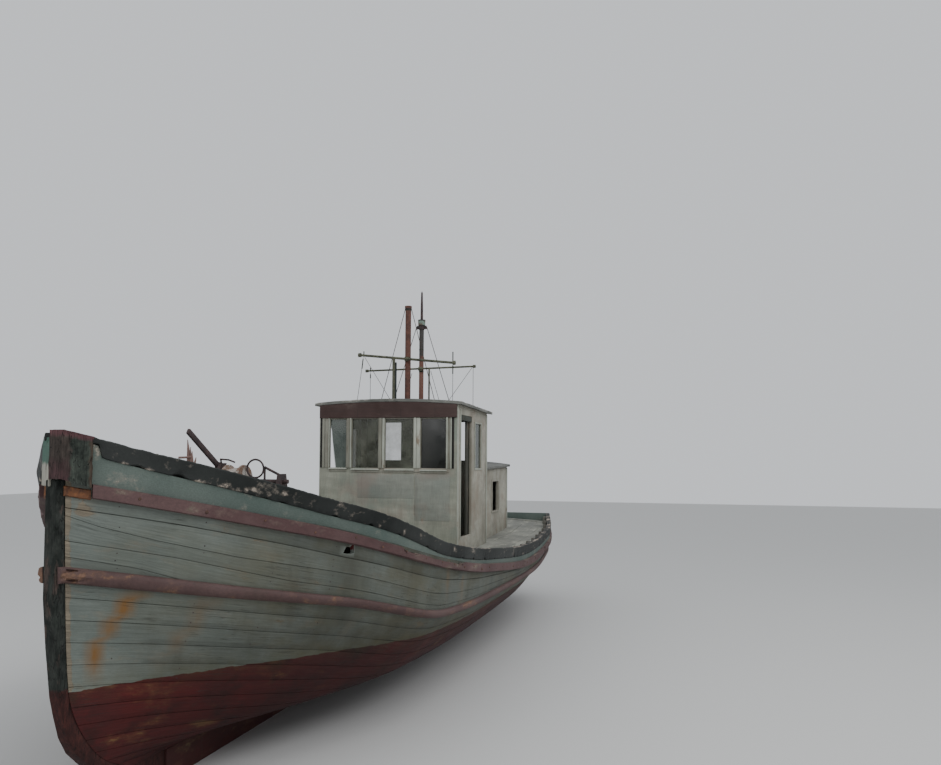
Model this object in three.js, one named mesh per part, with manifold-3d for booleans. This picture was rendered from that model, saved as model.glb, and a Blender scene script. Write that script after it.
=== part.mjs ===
// An old wooden fishing boat of 11 m, with its wheelhouse aft, as named closed meshes.
// Millimetres. +X is forward, +Y is port, +Z is up. The origin is under the middle of the keel's sole.
import * as THREE from 'three';
import { mergeVertices } from 'three/addons/utils/BufferGeometryUtils.js';
import Module from 'manifold-3d';

const wasm = await Module();
wasm.setup();

// Driving dimensions
const GAP = 0.4; // between pieces that rest on each other
const STEM_FACE = 5495;
const STEM_HALF = 68; // at the rabbet
const STEM_NOSE = 40;
const STEM_HEAD = 2304;
const KEEL_HALF = 85;
const BULWARK_THICK = 50;
const STRAKE_PROUD = 12;
const STRAKE_HEIGHT = 125;
const UPPER_GUARD_HEIGHT = 95;
const LOWER_GUARD_HEIGHT = 75;
const GUARD_PROUD = 45;
const DECK_THICK = 40;
const DECK_CAMBER = 60;
const FOOTING = 1100; // flat top of the hull under the houses
const WALL = 40;

const HOUSE = { front: -620, back: -2290, half: 980, eave: 3150, crown: 3228 };
const CABIN = { front: -2290, back: -4360, half: 850, eaveFront: 2295, eaveBack: 2345, crown: 60 };
const ROOF_THICK = 45;
const SOLE_THICK = 40;
const CABIN_SOLE = 1240;
const DOORWAY = { fore: -800, aft: -1400, low: 1410, high: 3060 };
const SIDE_WINDOW = { fore: -1560, aft: -1920, low: 2330, high: 2970 };
const FRONT_WINDOWS = [
  // from starboard to port: y of one edge, y of the other
  [-836, -585],
  [-511, -119],
  [-32, 380],
  [474, 836],
];
const FRONT_SILL = 2335;
const FRONT_HEAD = 3010;
const BACK_WINDOW = { inner: 390, outer: 700, low: 2440, high: 2980 };
const CABIN_WINDOW = { fore: -3220, aft: -3660, low: 1620, high: 2100 };
const CABIN_DOOR = { half: 300, low: 1365, high: 2250 };
const HATCH = { aft: 100, fore: 1300, half: 520, wall: 60, foot: 1130, top: 1580, floor: 560 };
const ENGINE_ROOM = { aft: -1900, fore: -700, half: 450, floor: 520 };
const SHAFT = { z: 320, radius: 20, post: -4390 };
const RUDDER = { x: -4900, stock: 25, fore: -4835, aft: -5225, low: 105, high: 560 };
const MAST_FORE = { x: -1450, radius: 42, top: 4670 };
const MAST_AFT = { x: -2080, radius: 35, top: 4500, staffTop: 5020, lug: 75 };
const WINCH = { x: 3000, axis: 2240, shaft: 20 };
const BRAKE_LEVER = { x: 2960, y: -345, z: 2375, pin: 14, lean: 32, length: 587 };

// The hull's lines. Each runs from the stem to the transom through the same nine stations.
// t is the share of a line's length from its fore end, z its height there and y its half-breadth.
const T = [0, 0.03, 0.075, 0.15, 0.28, 0.42, 0.645, 0.845, 1];
const LINES = [
  { name: 'rabbet', fore: 4700, aft: -5325,
    z: [250, 245, 240, 235, 230, 232, 240, 500, 640], y: [70, 78, 88, 90, 90, 90, 90, 90, 110] },
  { name: 'bilge', fore: 5020, aft: -5335,
    z: [430, 410, 395, 390, 400, 407, 420, 570, 720], y: [70, 170, 360, 720, 1150, 1270, 1300, 960, 600] },
  { name: 'waterline', fore: 5335, aft: -5345,
    z: [940, 932, 922, 890, 815, 792, 775, 775, 830], y: [70, 240, 560, 1050, 1560, 1672, 1700, 1450, 1120] },
  { name: 'guard', fore: 5395, aft: -5375,
    z: [1698, 1620, 1502, 1325, 1015, 948, 900, 930, 1020], y: [70, 335, 770, 1320, 1695, 1762, 1775, 1640, 1350] },
  { name: 'sheer', fore: 5415, aft: -5415,
    z: [2305, 2220, 2080, 1863, 1520, 1301, 1110, 1150, 1280], y: [70, 375, 850, 1415, 1735, 1788, 1795, 1690, 1410] },
  { name: 'rail', fore: 5420, aft: -5435,
    z: [2625, 2500, 2325, 2055, 1670, 1468, 1300, 1340, 1470], y: [70, 405, 905, 1460, 1748, 1795, 1800, 1700, 1425] },
];
const BILGE = 1;
const WATERLINE = 2;
const LOWER = 3;
const SHEER = 4;
const RAIL = 5;
// Stations at which the surfaces are cut
const FORE_END = 0.004; // where the long timbers begin, just aft of the stem
const BLOCK_END = 0.0105; // aft end of the chocks on the bow
const BUTT = 0.00003; // a hair's gap where two timbers meet end to end
const AFT_END = 0.985;
const STATIONS = [
  0, FORE_END, BLOCK_END, 0.018, 0.0265, 0.05, 0.075, 0.11, 0.15, 0.21, 0.28, 0.37, 0.47, 0.56, 0.645, 0.72,
  0.79, 0.845, 0.9, 0.95, AFT_END, 1,
];

// Value at t of a smooth curve through the knots that never overshoots them
function through(knots, values, t) {
  let i = 0;
  while (i < knots.length - 2 && t > knots[i + 1]) i += 1;
  const rise = (k) => (values[k + 1] - values[k]) / (knots[k + 1] - knots[k]);
  const slope = (k) => {
    if (k === 0) return rise(0);
    if (k === knots.length - 1) return rise(k - 1);
    const a = rise(k - 1);
    const b = rise(k);
    return a * b <= 0 ? 0 : (2 * a * b) / (a + b);
  };
  const h = knots[i + 1] - knots[i];
  const u = (t - knots[i]) / h;
  const u2 = u * u;
  const u3 = u2 * u;
  return (
    (2 * u3 - 3 * u2 + 1) * values[i] +
    (u3 - 2 * u2 + u) * h * slope(i) +
    (3 * u2 - 2 * u3) * values[i + 1] +
    (u3 - u2) * h * slope(i + 1)
  );
}

// Point on the port side: t along the hull, level 0 at the rabbet to 5 at the rail
function hullPoint(t, level) {
  const at = LINES.map((line) => [
    THREE.MathUtils.lerp(line.fore, line.aft, t),
    through(T, line.y, t),
    through(T, line.z, t),
  ]);
  const index = LINES.map((line, i) => i);
  return new THREE.Vector3(
    ...[0, 1, 2].map((axis) => through(index, at.map((p) => p[axis]), level)),
  );
}

// Level that lies a height above or below a whole level
function levelAt(t, level, rise) {
  const here = hullPoint(t, level).z;
  const step = Math.sign(rise);
  const next = hullPoint(t, level + step).z;
  let share = rise / (next - here);
  for (let n = 0; n < 6; n += 1) {
    const off = here + rise - hullPoint(t, level + step * share).z;
    share += off / (next - here);
  }
  return level + step * share;
}

// Outward direction of the side in plan
function outward(t, level) {
  const e = 0.004;
  const a = hullPoint(Math.max(0, t - e), level);
  const b = hullPoint(Math.min(1, t + e), level);
  return new THREE.Vector3(a.y - b.y, -(a.x - b.x), 0).normalize().multiplyScalar(-1);
}

const side = (t, level, out = 0, up = 0) => {
  const p = hullPoint(t, level).addScaledVector(outward(t, level), out);
  p.z += up;
  return p;
};

// Solids
function fromTriangles(list) {
  const geometry = new THREE.BufferGeometry();
  geometry.setAttribute('position', new THREE.Float32BufferAttribute(list.flatMap((p) => p.toArray()), 3));
  return solid(geometry);
}

function solid(geometry) {
  const bare = geometry.index ? geometry.toNonIndexed() : geometry.clone();
  bare.deleteAttribute('normal');
  bare.deleteAttribute('uv');
  const merged = mergeVertices(bare, 1e-3);
  const triVerts = new Uint32Array(merged.index.array);
  const make = () =>
    new wasm.Manifold(
      new wasm.Mesh({ numProp: 3, vertProperties: merged.attributes.position.array, triVerts }),
    );
  const made = make();
  if (made.volume() > 0) return made;
  for (let i = 0; i < triVerts.length; i += 3) {
    [triVerts[i + 1], triVerts[i + 2]] = [triVerts[i + 2], triVerts[i + 1]];
  }
  return make();
}

function geometryOf(made) {
  const m = made.getMesh();
  const geometry = new THREE.BufferGeometry();
  const positions = new Float32Array(m.numVert * 3);
  for (let i = 0; i < m.numVert; i += 1) {
    positions.set(m.vertProperties.subarray(i * m.numProp, i * m.numProp + 3), i * 3);
  }
  geometry.setAttribute('position', new THREE.BufferAttribute(positions, 3));
  geometry.setIndex(new THREE.BufferAttribute(new Uint32Array(m.triVerts), 1));
  return geometry;
}

const join = (first, ...rest) => rest.reduce((a, b) => a.add(b), first);
const cut = (first, ...rest) => rest.reduce((a, b) => a.subtract(b), first);
const quad = (a, b, c, d) => [a, b, c, a, c, d];
const mirrorPoint = (p) => new THREE.Vector3(p.x, -p.y, p.z);

function mirrored(made) {
  return solid(geometryOf(made).scale(1, -1, 1));
}

function box(x0, x1, y0, y1, z0, z1) {
  const geometry = new THREE.BoxGeometry(Math.abs(x1 - x0), Math.abs(y1 - y0), Math.abs(z1 - z0));
  return solid(geometry.translate((x0 + x1) / 2, (y0 + y1) / 2, (z0 + z1) / 2));
}

// Round bar between two points
function bar(from, to, radius, sides = 16, radiusTo = radius) {
  const a = new THREE.Vector3(...from);
  const b = new THREE.Vector3(...to);
  const geometry = new THREE.CylinderGeometry(radiusTo, radius, a.distanceTo(b), sides);
  const turn = new THREE.Quaternion().setFromUnitVectors(
    new THREE.Vector3(0, 1, 0),
    b.clone().sub(a).normalize(),
  );
  geometry.applyQuaternion(turn).translate(...a.add(b).multiplyScalar(0.5).toArray());
  return solid(geometry);
}

// Flat outline [u, v], as thick as w1 - w0, with holes cut right through
function plate(outline, holes, w0, w1, toWorld) {
  const shape = new THREE.Shape(outline.map((p) => new THREE.Vector2(...p)));
  const geometry = new THREE.ExtrudeGeometry(shape, { depth: w1 - w0, bevelEnabled: false });
  geometry.translate(0, 0, w0);
  const position = geometry.attributes.position;
  const p = new THREE.Vector3();
  for (let i = 0; i < position.count; i += 1) {
    p.fromBufferAttribute(position, i);
    position.setXYZ(i, ...toWorld(p.x, p.y, p.z));
  }
  const past = 10;
  return cut(solid(geometry), ...holes.map((hole) => plate(hole, [], w0 - past, w1 + past, toWorld)));
}

const acrossX = (u, v, w) => [w, u, v]; // outline in y and z
const acrossY = (u, v, w) => [u, w, v]; // outline in x and z
const acrossZ = (u, v, w) => [u, v, w]; // outline in x and y
const rect = (u0, u1, v0, v1) => [
  [u0, v0],
  [u1, v0],
  [u1, v1],
  [u0, v1],
];

// Rings of an even number of points, joined one to the next; each end is closed by rungs
function loft(rings) {
  const list = [];
  const count = rings[0].length;
  for (let k = 0; k + 1 < rings.length; k += 1) {
    for (let i = 0; i < count; i += 1) {
      const j = (i + 1) % count;
      list.push(...quad(rings[k][i], rings[k][j], rings[k + 1][j], rings[k + 1][i]));
    }
  }
  const close = (ring, turned) => {
    for (let i = 0; i + 1 < count / 2; i += 1) {
      const rung = [ring[i], ring[i + 1], ring[count - 2 - i], ring[count - 1 - i]];
      list.push(...quad(...(turned ? rung.reverse() : rung)));
    }
  };
  close(rings[0], true);
  close(rings[rings.length - 1], false);
  return fromTriangles(list);
}

// Hull
const sideLevels = (t) => [
  0,
  0.5,
  BILGE,
  1.5,
  WATERLINE,
  levelAt(t, LOWER, -LOWER_GUARD_HEIGHT / 2),
  levelAt(t, LOWER, LOWER_GUARD_HEIGHT / 2),
  3.6,
  levelAt(t, SHEER, -UPPER_GUARD_HEIGHT),
  SHEER,
];

function hullSolid() {
  const port = STATIONS.map((t) => sideLevels(t).map((level) => hullPoint(t, level)));
  const starboard = port.map((row) => row.map(mirrorPoint));
  const top = port[0].length - 1;
  const last = port.length - 1;
  const list = [];
  for (let k = 0; k < last; k += 1) {
    for (let i = 0; i < top; i += 1) {
      list.push(...quad(port[k][i], port[k][i + 1], port[k + 1][i + 1], port[k + 1][i]));
      const s = starboard;
      list.push(s[k][i], s[k + 1][i + 1], s[k][i + 1], s[k][i], s[k + 1][i], s[k + 1][i + 1]);
    }
    list.push(...quad(port[k][top], starboard[k][top], starboard[k + 1][top], port[k + 1][top]));
    list.push(...quad(starboard[k][0], port[k][0], port[k + 1][0], starboard[k + 1][0]));
  }
  for (let i = 0; i < top; i += 1) {
    list.push(...quad(starboard[0][i], starboard[0][i + 1], port[0][i + 1], port[0][i]));
    list.push(...quad(port[last][i], port[last][i + 1], starboard[last][i + 1], starboard[last][i]));
  }
  return fromTriangles(list);
}

const footprints = (grow, z0, z1) => [
  box(HOUSE.back - grow, HOUSE.front + grow, -HOUSE.half - grow, HOUSE.half + grow, z0, z1),
  box(CABIN.back - grow, CABIN.front + grow, -CABIN.half - grow, CABIN.half + grow, z0, z1),
];
const HIGH = 3000;

function hull() {
  const h = HATCH;
  const lining = 10;
  const e = ENGINE_ROOM;
  return cut(
    hullSolid(),
    ...footprints(GAP, FOOTING, HIGH),
    box(h.aft - h.wall - GAP, h.fore + h.wall + GAP, -h.half - h.wall - GAP, h.half + h.wall + GAP, h.foot, HIGH),
    box(h.aft - lining, h.fore + lining, -h.half - lining, h.half + lining, h.floor - lining, HIGH),
    box(e.aft, e.fore, -e.half, e.half, e.floor, HIGH),
    bar([RUDDER.x, 0, 400], [RUDDER.x, 0, 1000], RUDDER.stock + 1.5, 24),
  );
}

// Stem and keel
const RABBET_LEVELS = [0, 0.3, 0.6, BILGE, 1.4, 1.7, WATERLINE, 2.5, LOWER, SHEER, RAIL];
const KEEL_SCARF = 4300;
const SOLE_TOP = (x) => {
  const line = LINES[0];
  return through(T, line.z, (line.fore - x) / (line.fore - line.aft)) - 1;
};

// Place at a share of the way along a polyline, and the shares of its own corners
function polyline(points) {
  const runs = [0];
  points.slice(1).forEach((p, i) => runs.push(runs[i] + Math.hypot(p[0] - points[i][0], p[1] - points[i][1])));
  const whole = runs[runs.length - 1];
  return {
    shares: runs.map((run) => run / whole),
    at(share) {
      const run = share * whole;
      let i = 0;
      while (i < points.length - 2 && run > runs[i + 1]) i += 1;
      const part = (run - runs[i]) / (runs[i + 1] - runs[i]);
      return [0, 1].map((axis) => points[i][axis] + (points[i + 1][axis] - points[i][axis]) * part);
    },
  };
}

// The stem narrows from the rabbet to its nose, and less so towards the keel
function stem() {
  const face = polyline([
    // x, z down the front of the stem and round the forefoot
    [STEM_FACE, STEM_HEAD],
    [STEM_FACE, 1550],
    [5462, 1235],
    [5416, 912],
    [5377, 775],
    [5319, 631],
    [5225, 505],
    [5080, 380],
    [4880, 235],
    [4620, 100],
    [KEEL_SCARF + 60, 12],
    [KEEL_SCARF, 0],
  ]);
  const rabbet = polyline([
    ...sideLevels(0).filter((level) => level <= SHEER).reverse().map((level) => {
      const p = hullPoint(0, level);
      return level > 0 ? [p.x + 1, p.z] : [p.x, p.z - 1];
    }),
    [KEEL_SCARF, SOLE_TOP(KEEL_SCARF)],
  ]);
  const apart = 0.004;
  const spare = face.shares.filter((share) => rabbet.shares.every((other) => Math.abs(share - other) > apart));
  const shares = [...rabbet.shares, ...spare].sort((a, b) => a - b);
  return loft(
    shares.map((share) => {
      const [fx, fz] = face.at(share);
      const [rx, rz] = rabbet.at(share);
      const nose = STEM_NOSE + (STEM_HALF - STEM_NOSE) * Math.min(1, Math.max(0, 1 - fz / 600));
      return [
        new THREE.Vector3(fx, nose, fz),
        new THREE.Vector3(rx, STEM_HALF, rz),
        new THREE.Vector3(rx, -STEM_HALF, rz),
        new THREE.Vector3(fx, -nose, fz),
      ];
    }),
  );
}

function keel() {
  const front = KEEL_SCARF - GAP;
  const post = SHAFT.post;
  const tops = STATIONS.map((t) => hullPoint(t, 0)).filter((p) => p.x < front - 20 && p.x > post + 20);
  const outline = [
    [front, 0],
    [-5080, 0],
    [-5080, 60],
    [post, 60],
    [post, SOLE_TOP(post)],
    ...tops.reverse().map((p) => [p.x, p.z - 1]),
    [front, SOLE_TOP(front)],
  ];
  return cut(
    plate(outline, [], -KEEL_HALF, KEEL_HALF, acrossY),
    bar([post - 10, 0, SHAFT.z], [post + 420, 0, SHAFT.z], SHAFT.radius + 0.6, 24),
    bar([RUDDER.x, 0, 18], [RUDDER.x, 0, 80], 16, 16),
  );
}

// Long timbers that follow the hull's side; [t0, t1] is the stretch that they cover
const along = (t0, t1) => [t0, ...STATIONS.filter((t) => t > t0 + 0.002 && t < t1 - 0.002), t1];

function bulwark(t0, t1) {
  return loft(
    along(t0, t1).map((t) => {
      const high = levelAt(t, RAIL, -STRAKE_HEIGHT);
      return [
        side(t, SHEER, 0, GAP),
        side(t, high),
        side(t, high, -BULWARK_THICK),
        side(t, SHEER, -BULWARK_THICK, GAP),
      ];
    }),
  );
}

function railStrake(t0, t1) {
  return loft(
    along(t0, t1).map((t) => {
      const low = levelAt(t, RAIL, -STRAKE_HEIGHT);
      return [
        side(t, low, STRAKE_PROUD, 1),
        side(t, RAIL, STRAKE_PROUD),
        side(t, RAIL, -BULWARK_THICK - STRAKE_PROUD),
        side(t, low, -BULWARK_THICK - STRAKE_PROUD, 1),
      ];
    }),
  );
}

function upperGuard(t0, t1) {
  return loft(
    along(t0, t1).map((t) => {
      const low = levelAt(t, SHEER, -UPPER_GUARD_HEIGHT);
      return [
        side(t, low, 1),
        side(t, SHEER, 1),
        side(t, SHEER, GUARD_PROUD, -6),
        side(t, low, GUARD_PROUD, 6),
      ];
    }),
  );
}

function lowerGuard(t0, t1) {
  return loft(
    along(t0, t1).map((t) => {
      const low = levelAt(t, LOWER, -LOWER_GUARD_HEIGHT / 2);
      const high = levelAt(t, LOWER, LOWER_GUARD_HEIGHT / 2);
      return [
        side(t, low, 1),
        side(t, high, 1),
        side(t, high, GUARD_PROUD * 0.7, -8),
        side(t, LOWER, GUARD_PROUD, 14),
        side(t, LOWER, GUARD_PROUD, -14),
        side(t, low, GUARD_PROUD * 0.7, 8),
      ];
    }),
  );
}

// Chocks that meet over the stem and reach aft outside the bulwarks
function bowBlock() {
  const shoulder = 98;
  const proud = 48;
  const drop = 30; // how far the aft end hangs below the front
  const nose = STEM_FACE - 5;
  const ring = (level, lift, sag) => {
    const bow = hullPoint(0, level);
    const z = bow.z + lift;
    return [
      new THREE.Vector3(nose, GAP / 2, z),
      new THREE.Vector3(nose, shoulder, z),
      side(BLOCK_END, level, proud, lift - sag),
      side(BLOCK_END, level, 1, lift - sag),
      new THREE.Vector3(bow.x + 7, bow.y + 3, z),
      new THREE.Vector3(bow.x + 7, GAP / 2, z),
    ];
  };
  return loft([ring(SHEER, 2, drop), ring((SHEER + RAIL) / 2, 0, 0), ring(RAIL, 0, 0)]);
}

// Planks across the stern, from side to side
function sternBulwark() {
  const foot = hullPoint(1, SHEER);
  const head = hullPoint(1, RAIL);
  const back = 10;
  const ring = (y) => [
    new THREE.Vector3(foot.x - back, y, foot.z + GAP),
    new THREE.Vector3(head.x - back, y, head.z),
    new THREE.Vector3(head.x - back - BULWARK_THICK, y, head.z),
    new THREE.Vector3(foot.x - back - BULWARK_THICK, y, foot.z + GAP),
  ];
  return loft([ring(-foot.y), ring(foot.y)]);
}

function transom() {
  const levels = sideLevels(1).slice(0, -1).concat([SHEER]);
  const rows = levels.map((level) => hullPoint(1, level));
  const ring = (dx) => [
    ...rows.map((p) => new THREE.Vector3(p.x - dx, p.y, p.z)),
    ...rows.map((p) => new THREE.Vector3(p.x - dx, -p.y, p.z)).reverse(),
  ];
  return loft([ring(1), ring(45)]);
}

// Deck, crowned, inside the bulwarks
const DECK_ACROSS = [-1, -0.82, -0.5, 0, 0.5, 0.82, 1];

function deckSlab(lift, depth) {
  const inset = BULWARK_THICK + 14;
  return loft(
    along(0.015, AFT_END).map((t) => {
      const edge = side(t, SHEER, -inset);
      const topZ = (share) => edge.z + DECK_THICK + DECK_CAMBER * (1 - share * share) + lift;
      return [
        ...DECK_ACROSS.map((share) => new THREE.Vector3(edge.x, edge.y * share, topZ(share))),
        ...DECK_ACROSS.map((share) => new THREE.Vector3(edge.x, edge.y * share, edge.z + depth)).reverse(),
      ];
    }),
  );
}

// The deck in four lengths, one on each side of the houses
function deckPart(...keptOut) {
  const h = HATCH;
  const out = h.wall + GAP;
  return cut(
    deckSlab(0, 1),
    ...footprints(GAP, FOOTING - 300, HIGH),
    box(h.aft - out, h.fore + out, -h.half - out, h.half + out, h.foot - 300, HIGH),
    ...keptOut,
  );
}

const FAR = 6000;
const before = (x) => box(x, FAR, -FAR, FAR, 0, HIGH);
const behind = (x) => box(-FAR, x, -FAR, FAR, 0, HIGH);

function deckLengths() {
  const fore = HOUSE.front + GAP;
  const aft = HOUSE.back - GAP;
  return {
    fore: deckPart(behind(fore)),
    port: deckPart(before(fore - GAP), behind(aft), box(-FAR, FAR, -FAR, 0, 0, HIGH)),
    aft: deckPart(before(aft - GAP)),
  };
}
// What stands on the deck is cut off at its surface
const deckCutter = deckSlab(GAP, -900);

function hatchCoaming() {
  const h = HATCH;
  const outline = rect(h.aft - h.wall, h.fore + h.wall, -h.half - h.wall, h.half + h.wall);
  return plate(outline, [rect(h.aft, h.fore, -h.half, h.half)], h.foot + GAP, h.top, acrossZ);
}

function hatchCover() {
  const h = HATCH;
  const lip = h.wall + 36;
  const clear = h.wall + 6;
  const lid = box(h.aft - lip, h.fore + lip, -h.half - lip, h.half + lip, h.top - 55, h.top + 42);
  const well = box(h.aft - clear, h.fore + clear, -h.half - clear, h.half + clear, h.top - 60, h.top + GAP);
  return cut(lid, well);
}

// Foredeck gear
function bittPost() {
  const foot = [
    // x, z of the broken post
    [3845, 1800],
    [3955, 1800],
    [3955, 2385],
    [3930, 2410],
    [3905, 2380],
    [3880, 2425],
    [3862, 2400],
    [3845, 2430],
  ];
  const splinter = [
    [3868, 2350],
    [3930, 2350],
    [3918, 2480],
    [3898, 2600],
    [3886, 2540],
    [3878, 2560],
  ];
  const pin = bar([3900, -135, 2458], [3900, -10, 2458], 11, 10);
  return cut(join(plate(foot, [], -55, 55, acrossY), plate(splinter, [], -54, -20, acrossY), pin), deckCutter);
}

function winchFrame() {
  const { x, axis } = WINCH;
  const pin = BRAKE_LEVER;
  const thick = 30;
  const cheek = (y, head) =>
    plate([[x - 210, 1700], [x + 210, 1700], [x + 60, axis + 70], ...head, [x - 60, axis + 70]], [],
      y - thick / 2, y + thick / 2, acrossY);
  const ear = [
    [x + 5, pin.z + 30],
    [x - 85, pin.z + 30],
  ];
  const tie = bar([x - 130, -300, axis - 240], [x - 130, 330, axis - 240], 22);
  const shaft = bar([x, -300, axis], [x, 395, axis], WINCH.shaft, 28);
  const ring = { y: 62, z: 2356, radius: 84 };
  const wheel = new THREE.TorusGeometry(ring.radius, 9, 8, 24).rotateY(Math.PI / 2).translate(x, ring.y, ring.z);
  const spindle = bar([x, ring.y, axis + 10], [x, ring.y, ring.z - ring.radius], 10, 10);
  const guardFoot = bar([x, 158, axis + 10], [x, 158, axis + 134], 10, 10);
  const guardRail = bar([x, 156, axis + 130], [x, 316, axis + 56], 12, 10);
  const band = [
    bar([x - 30, -300, pin.z], [x, -300, pin.z + 68], 8, 8),
    bar([x, -302, pin.z + 66], [x, -216, pin.z + 60], 8, 8),
    bar([x, -218, pin.z + 61], [x, -150, pin.z + 38], 8, 8),
  ];
  const pivot = bar([pin.x, -300, pin.z], [pin.x, pin.y - 20, pin.z], pin.pin, 24);
  return cut(
    join(cheek(-300, ear), cheek(330, []), tie, shaft, solid(wheel), spindle, guardFoot, guardRail, ...band, pivot),
    deckCutter,
  );
}

function winchDrum() {
  const { x, axis } = WINCH;
  const bore = WINCH.shaft + 0.5;
  const profile = [
    // radius, place along the shaft
    [bore, -225],
    [150, -225],
    [150, -205],
    [128, -198],
    [120, -135],
    [128, -72],
    [150, -65],
    [150, -45],
    [bore, -45],
    [bore, -225],
  ];
  const points = profile.map(([r, y]) => new THREE.Vector2(r, y));
  return solid(new THREE.LatheGeometry(points, 28).translate(x, 0, axis));
}

// Flat bar that leans forward from its pin on the starboard cheek
function winchLever() {
  const { x, y, z, pin, lean, length } = BRAKE_LEVER;
  const a = THREE.MathUtils.degToRad(lean);
  const leaning = (u, v, w) => [x + v * Math.cos(a) - u * Math.sin(a), y + w, z + v * Math.sin(a) + u * Math.cos(a)];
  const strip = plate(rect(-21, 21, -75, length), [], -9, 9, leaning);
  const eye = bar([x, y - 12, z], [x, y + 12, z], 34, 20);
  return cut(join(strip, eye), bar([x, y - 30, z], [x, y + 30, z], pin + 0.4, 24));
}

// Wheelhouse
const roofLine = (y, half, eave, crown) => crown - (crown - eave) * (y / half) ** 2;
function arc(half, eave, crown, reach, steps = 12) {
  const inside = Array.from({ length: steps + 1 }, (_, i) => half - (2 * half * i) / steps);
  const across = reach > half ? [reach, ...inside, -reach] : inside;
  return across.map((y) => [y, roofLine(y, half, eave, crown)]);
}

function houseFront() {
  const holes = FRONT_WINDOWS.map(([a, b]) => rect(a, b, FRONT_SILL, FRONT_HEAD));
  return houseEnd(holes, HOUSE.front - WALL, HOUSE.front);
}

function houseBack() {
  const w = BACK_WINDOW;
  const holes = [rect(w.inner, w.outer, w.low, w.high), rect(-w.outer, -w.inner, w.low, w.high)];
  return houseEnd(holes, HOUSE.back, HOUSE.back + WALL);
}

function houseEnd(holes, x0, x1) {
  const foot = [
    [-HOUSE.half, FOOTING + GAP],
    [HOUSE.half, FOOTING + GAP],
  ];
  const top = arc(HOUSE.half, HOUSE.eave - GAP, HOUSE.crown - GAP, HOUSE.half);
  return plate([...foot, ...top], holes, x0, x1, acrossX);
}

function houseSide() {
  const d = DOORWAY;
  const w = SIDE_WINDOW;
  const fore = HOUSE.front - WALL - GAP;
  const aft = HOUSE.back + WALL + GAP;
  const outer = HOUSE.half;
  const wall = plate(
    rect(aft, fore, FOOTING + GAP, HOUSE.eave - 1),
    [rect(d.aft, d.fore, d.low, d.high), rect(w.aft, w.fore, w.low, w.high)],
    outer - WALL,
    outer,
    acrossY,
  );
  const runner = (z0, z1) => box(aft + 10, fore - 10, outer - WALL - 45, outer - WALL + 5, z0, z1);
  return join(wall, runner(d.low - 40, d.low - 12), runner(d.high + 22, d.high + 50));
}

// Sliding door, drawn where it stands half open
function houseDoor(fore, y0) {
  const d = DOORWAY;
  const width = 640;
  return plate(
    rect(fore - width, fore, d.low - 12 + GAP, d.high + 22 - GAP),
    [rect(fore - width + 120, fore - 120, 2250, 2900)],
    y0 - 26,
    y0,
    acrossY,
  );
}

function houseRoof() {
  const reach = HOUSE.half + 78;
  const under = arc(HOUSE.half, HOUSE.eave, HOUSE.crown, reach);
  const over = under.map(([y, z]) => [y, z + ROOF_THICK]).reverse();
  return plate([...under, ...over], [], HOUSE.back - 92, HOUSE.front + 32, acrossX);
}

function houseFascia() {
  const half = 965;
  const top = arc(HOUSE.half, HOUSE.eave - 1, HOUSE.crown - 1, half);
  const foot = [
    [-half, FRONT_HEAD + 2],
    [half, FRONT_HEAD + 2],
  ];
  return plate([...foot, ...top], [], HOUSE.front + GAP, HOUSE.front + 24, acrossX);
}

function windowSill() {
  return box(HOUSE.front + GAP, HOUSE.front + 36, -872, 884, FRONT_SILL - 74, FRONT_SILL - 2);
}

function frontPane(i) {
  const [a, b] = FRONT_WINDOWS[i];
  const mid = HOUSE.front - WALL / 2;
  const y0 = a + GAP;
  const y1 = b - GAP;
  const z0 = FRONT_SILL + GAP;
  const z1 = FRONT_HEAD - GAP;
  // The starboard pane has lost the glass beside its post
  const outline = i > 0 ? rect(y0, y1, z0, z1) : [
    [y0 + 78, z0],
    [y1, z0],
    [y1, z1],
    [y0, z1],
    [y0, z1 - 90],
    [y0 + 22, z1 - 170],
    [y0 + 40, z0 + 260],
  ];
  return plate(outline, [], mid - 3, mid + 3, acrossX);
}

function sidePane() {
  const w = SIDE_WINDOW;
  const mid = HOUSE.half - WALL / 2 + 6;
  return plate(rect(w.aft + GAP, w.fore - GAP, w.low + GAP, w.high - GAP), [], mid - 3, mid + 3, acrossY);
}

function houseSole() {
  const clear = WALL + 5;
  const outline = [
    [CABIN.back + clear, -CABIN.half + clear],
    [CABIN.back + clear, CABIN.half - clear],
    [HOUSE.back - 1, CABIN.half - clear],
    [HOUSE.back - 1, -CABIN.half + clear],
  ];
  const house = rect(HOUSE.back + WALL + 1, HOUSE.front - WALL - 1, -HOUSE.half + clear, HOUSE.half - clear);
  return {
    cabin: plate(outline, [], FOOTING + GAP, CABIN_SOLE, acrossZ),
    house: plate(house, [], FOOTING + GAP, FOOTING + SOLE_THICK, acrossZ),
  };
}

function helmBench() {
  const front = HOUSE.front - WALL - GAP;
  const body = box(front - 200, front, -640, 640, FOOTING + SOLE_THICK + GAP, 2060);
  const boss = bar([front - 190, 0, 1920], [front - 240, 0, 1920], 45);
  return cut(join(body, boss), bar([front - 260, 0, 1920], [front - 150, 0, 1920], 15.6, 20));
}

function steeringWheel() {
  const front = HOUSE.front - WALL - 1;
  const x = front - 275;
  const z = 1920;
  const radius = 230;
  const rim = solid(new THREE.TorusGeometry(radius, 15, 8, 28).rotateY(Math.PI / 2).translate(x, 0, z));
  const hub = bar([x + 28, 0, z], [x - 28, 0, z], 42);
  const axle = bar([x, 0, z], [front - 160, 0, z], 15);
  const spokes = Array.from({ length: 6 }, (_, i) => {
    const a = (i * Math.PI) / 3;
    const out = radius + 85;
    return bar([x, 0, z], [x, Math.cos(a) * out, z + Math.sin(a) * out], 11, 8);
  });
  return join(rim, hub, axle, ...spokes);
}

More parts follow.
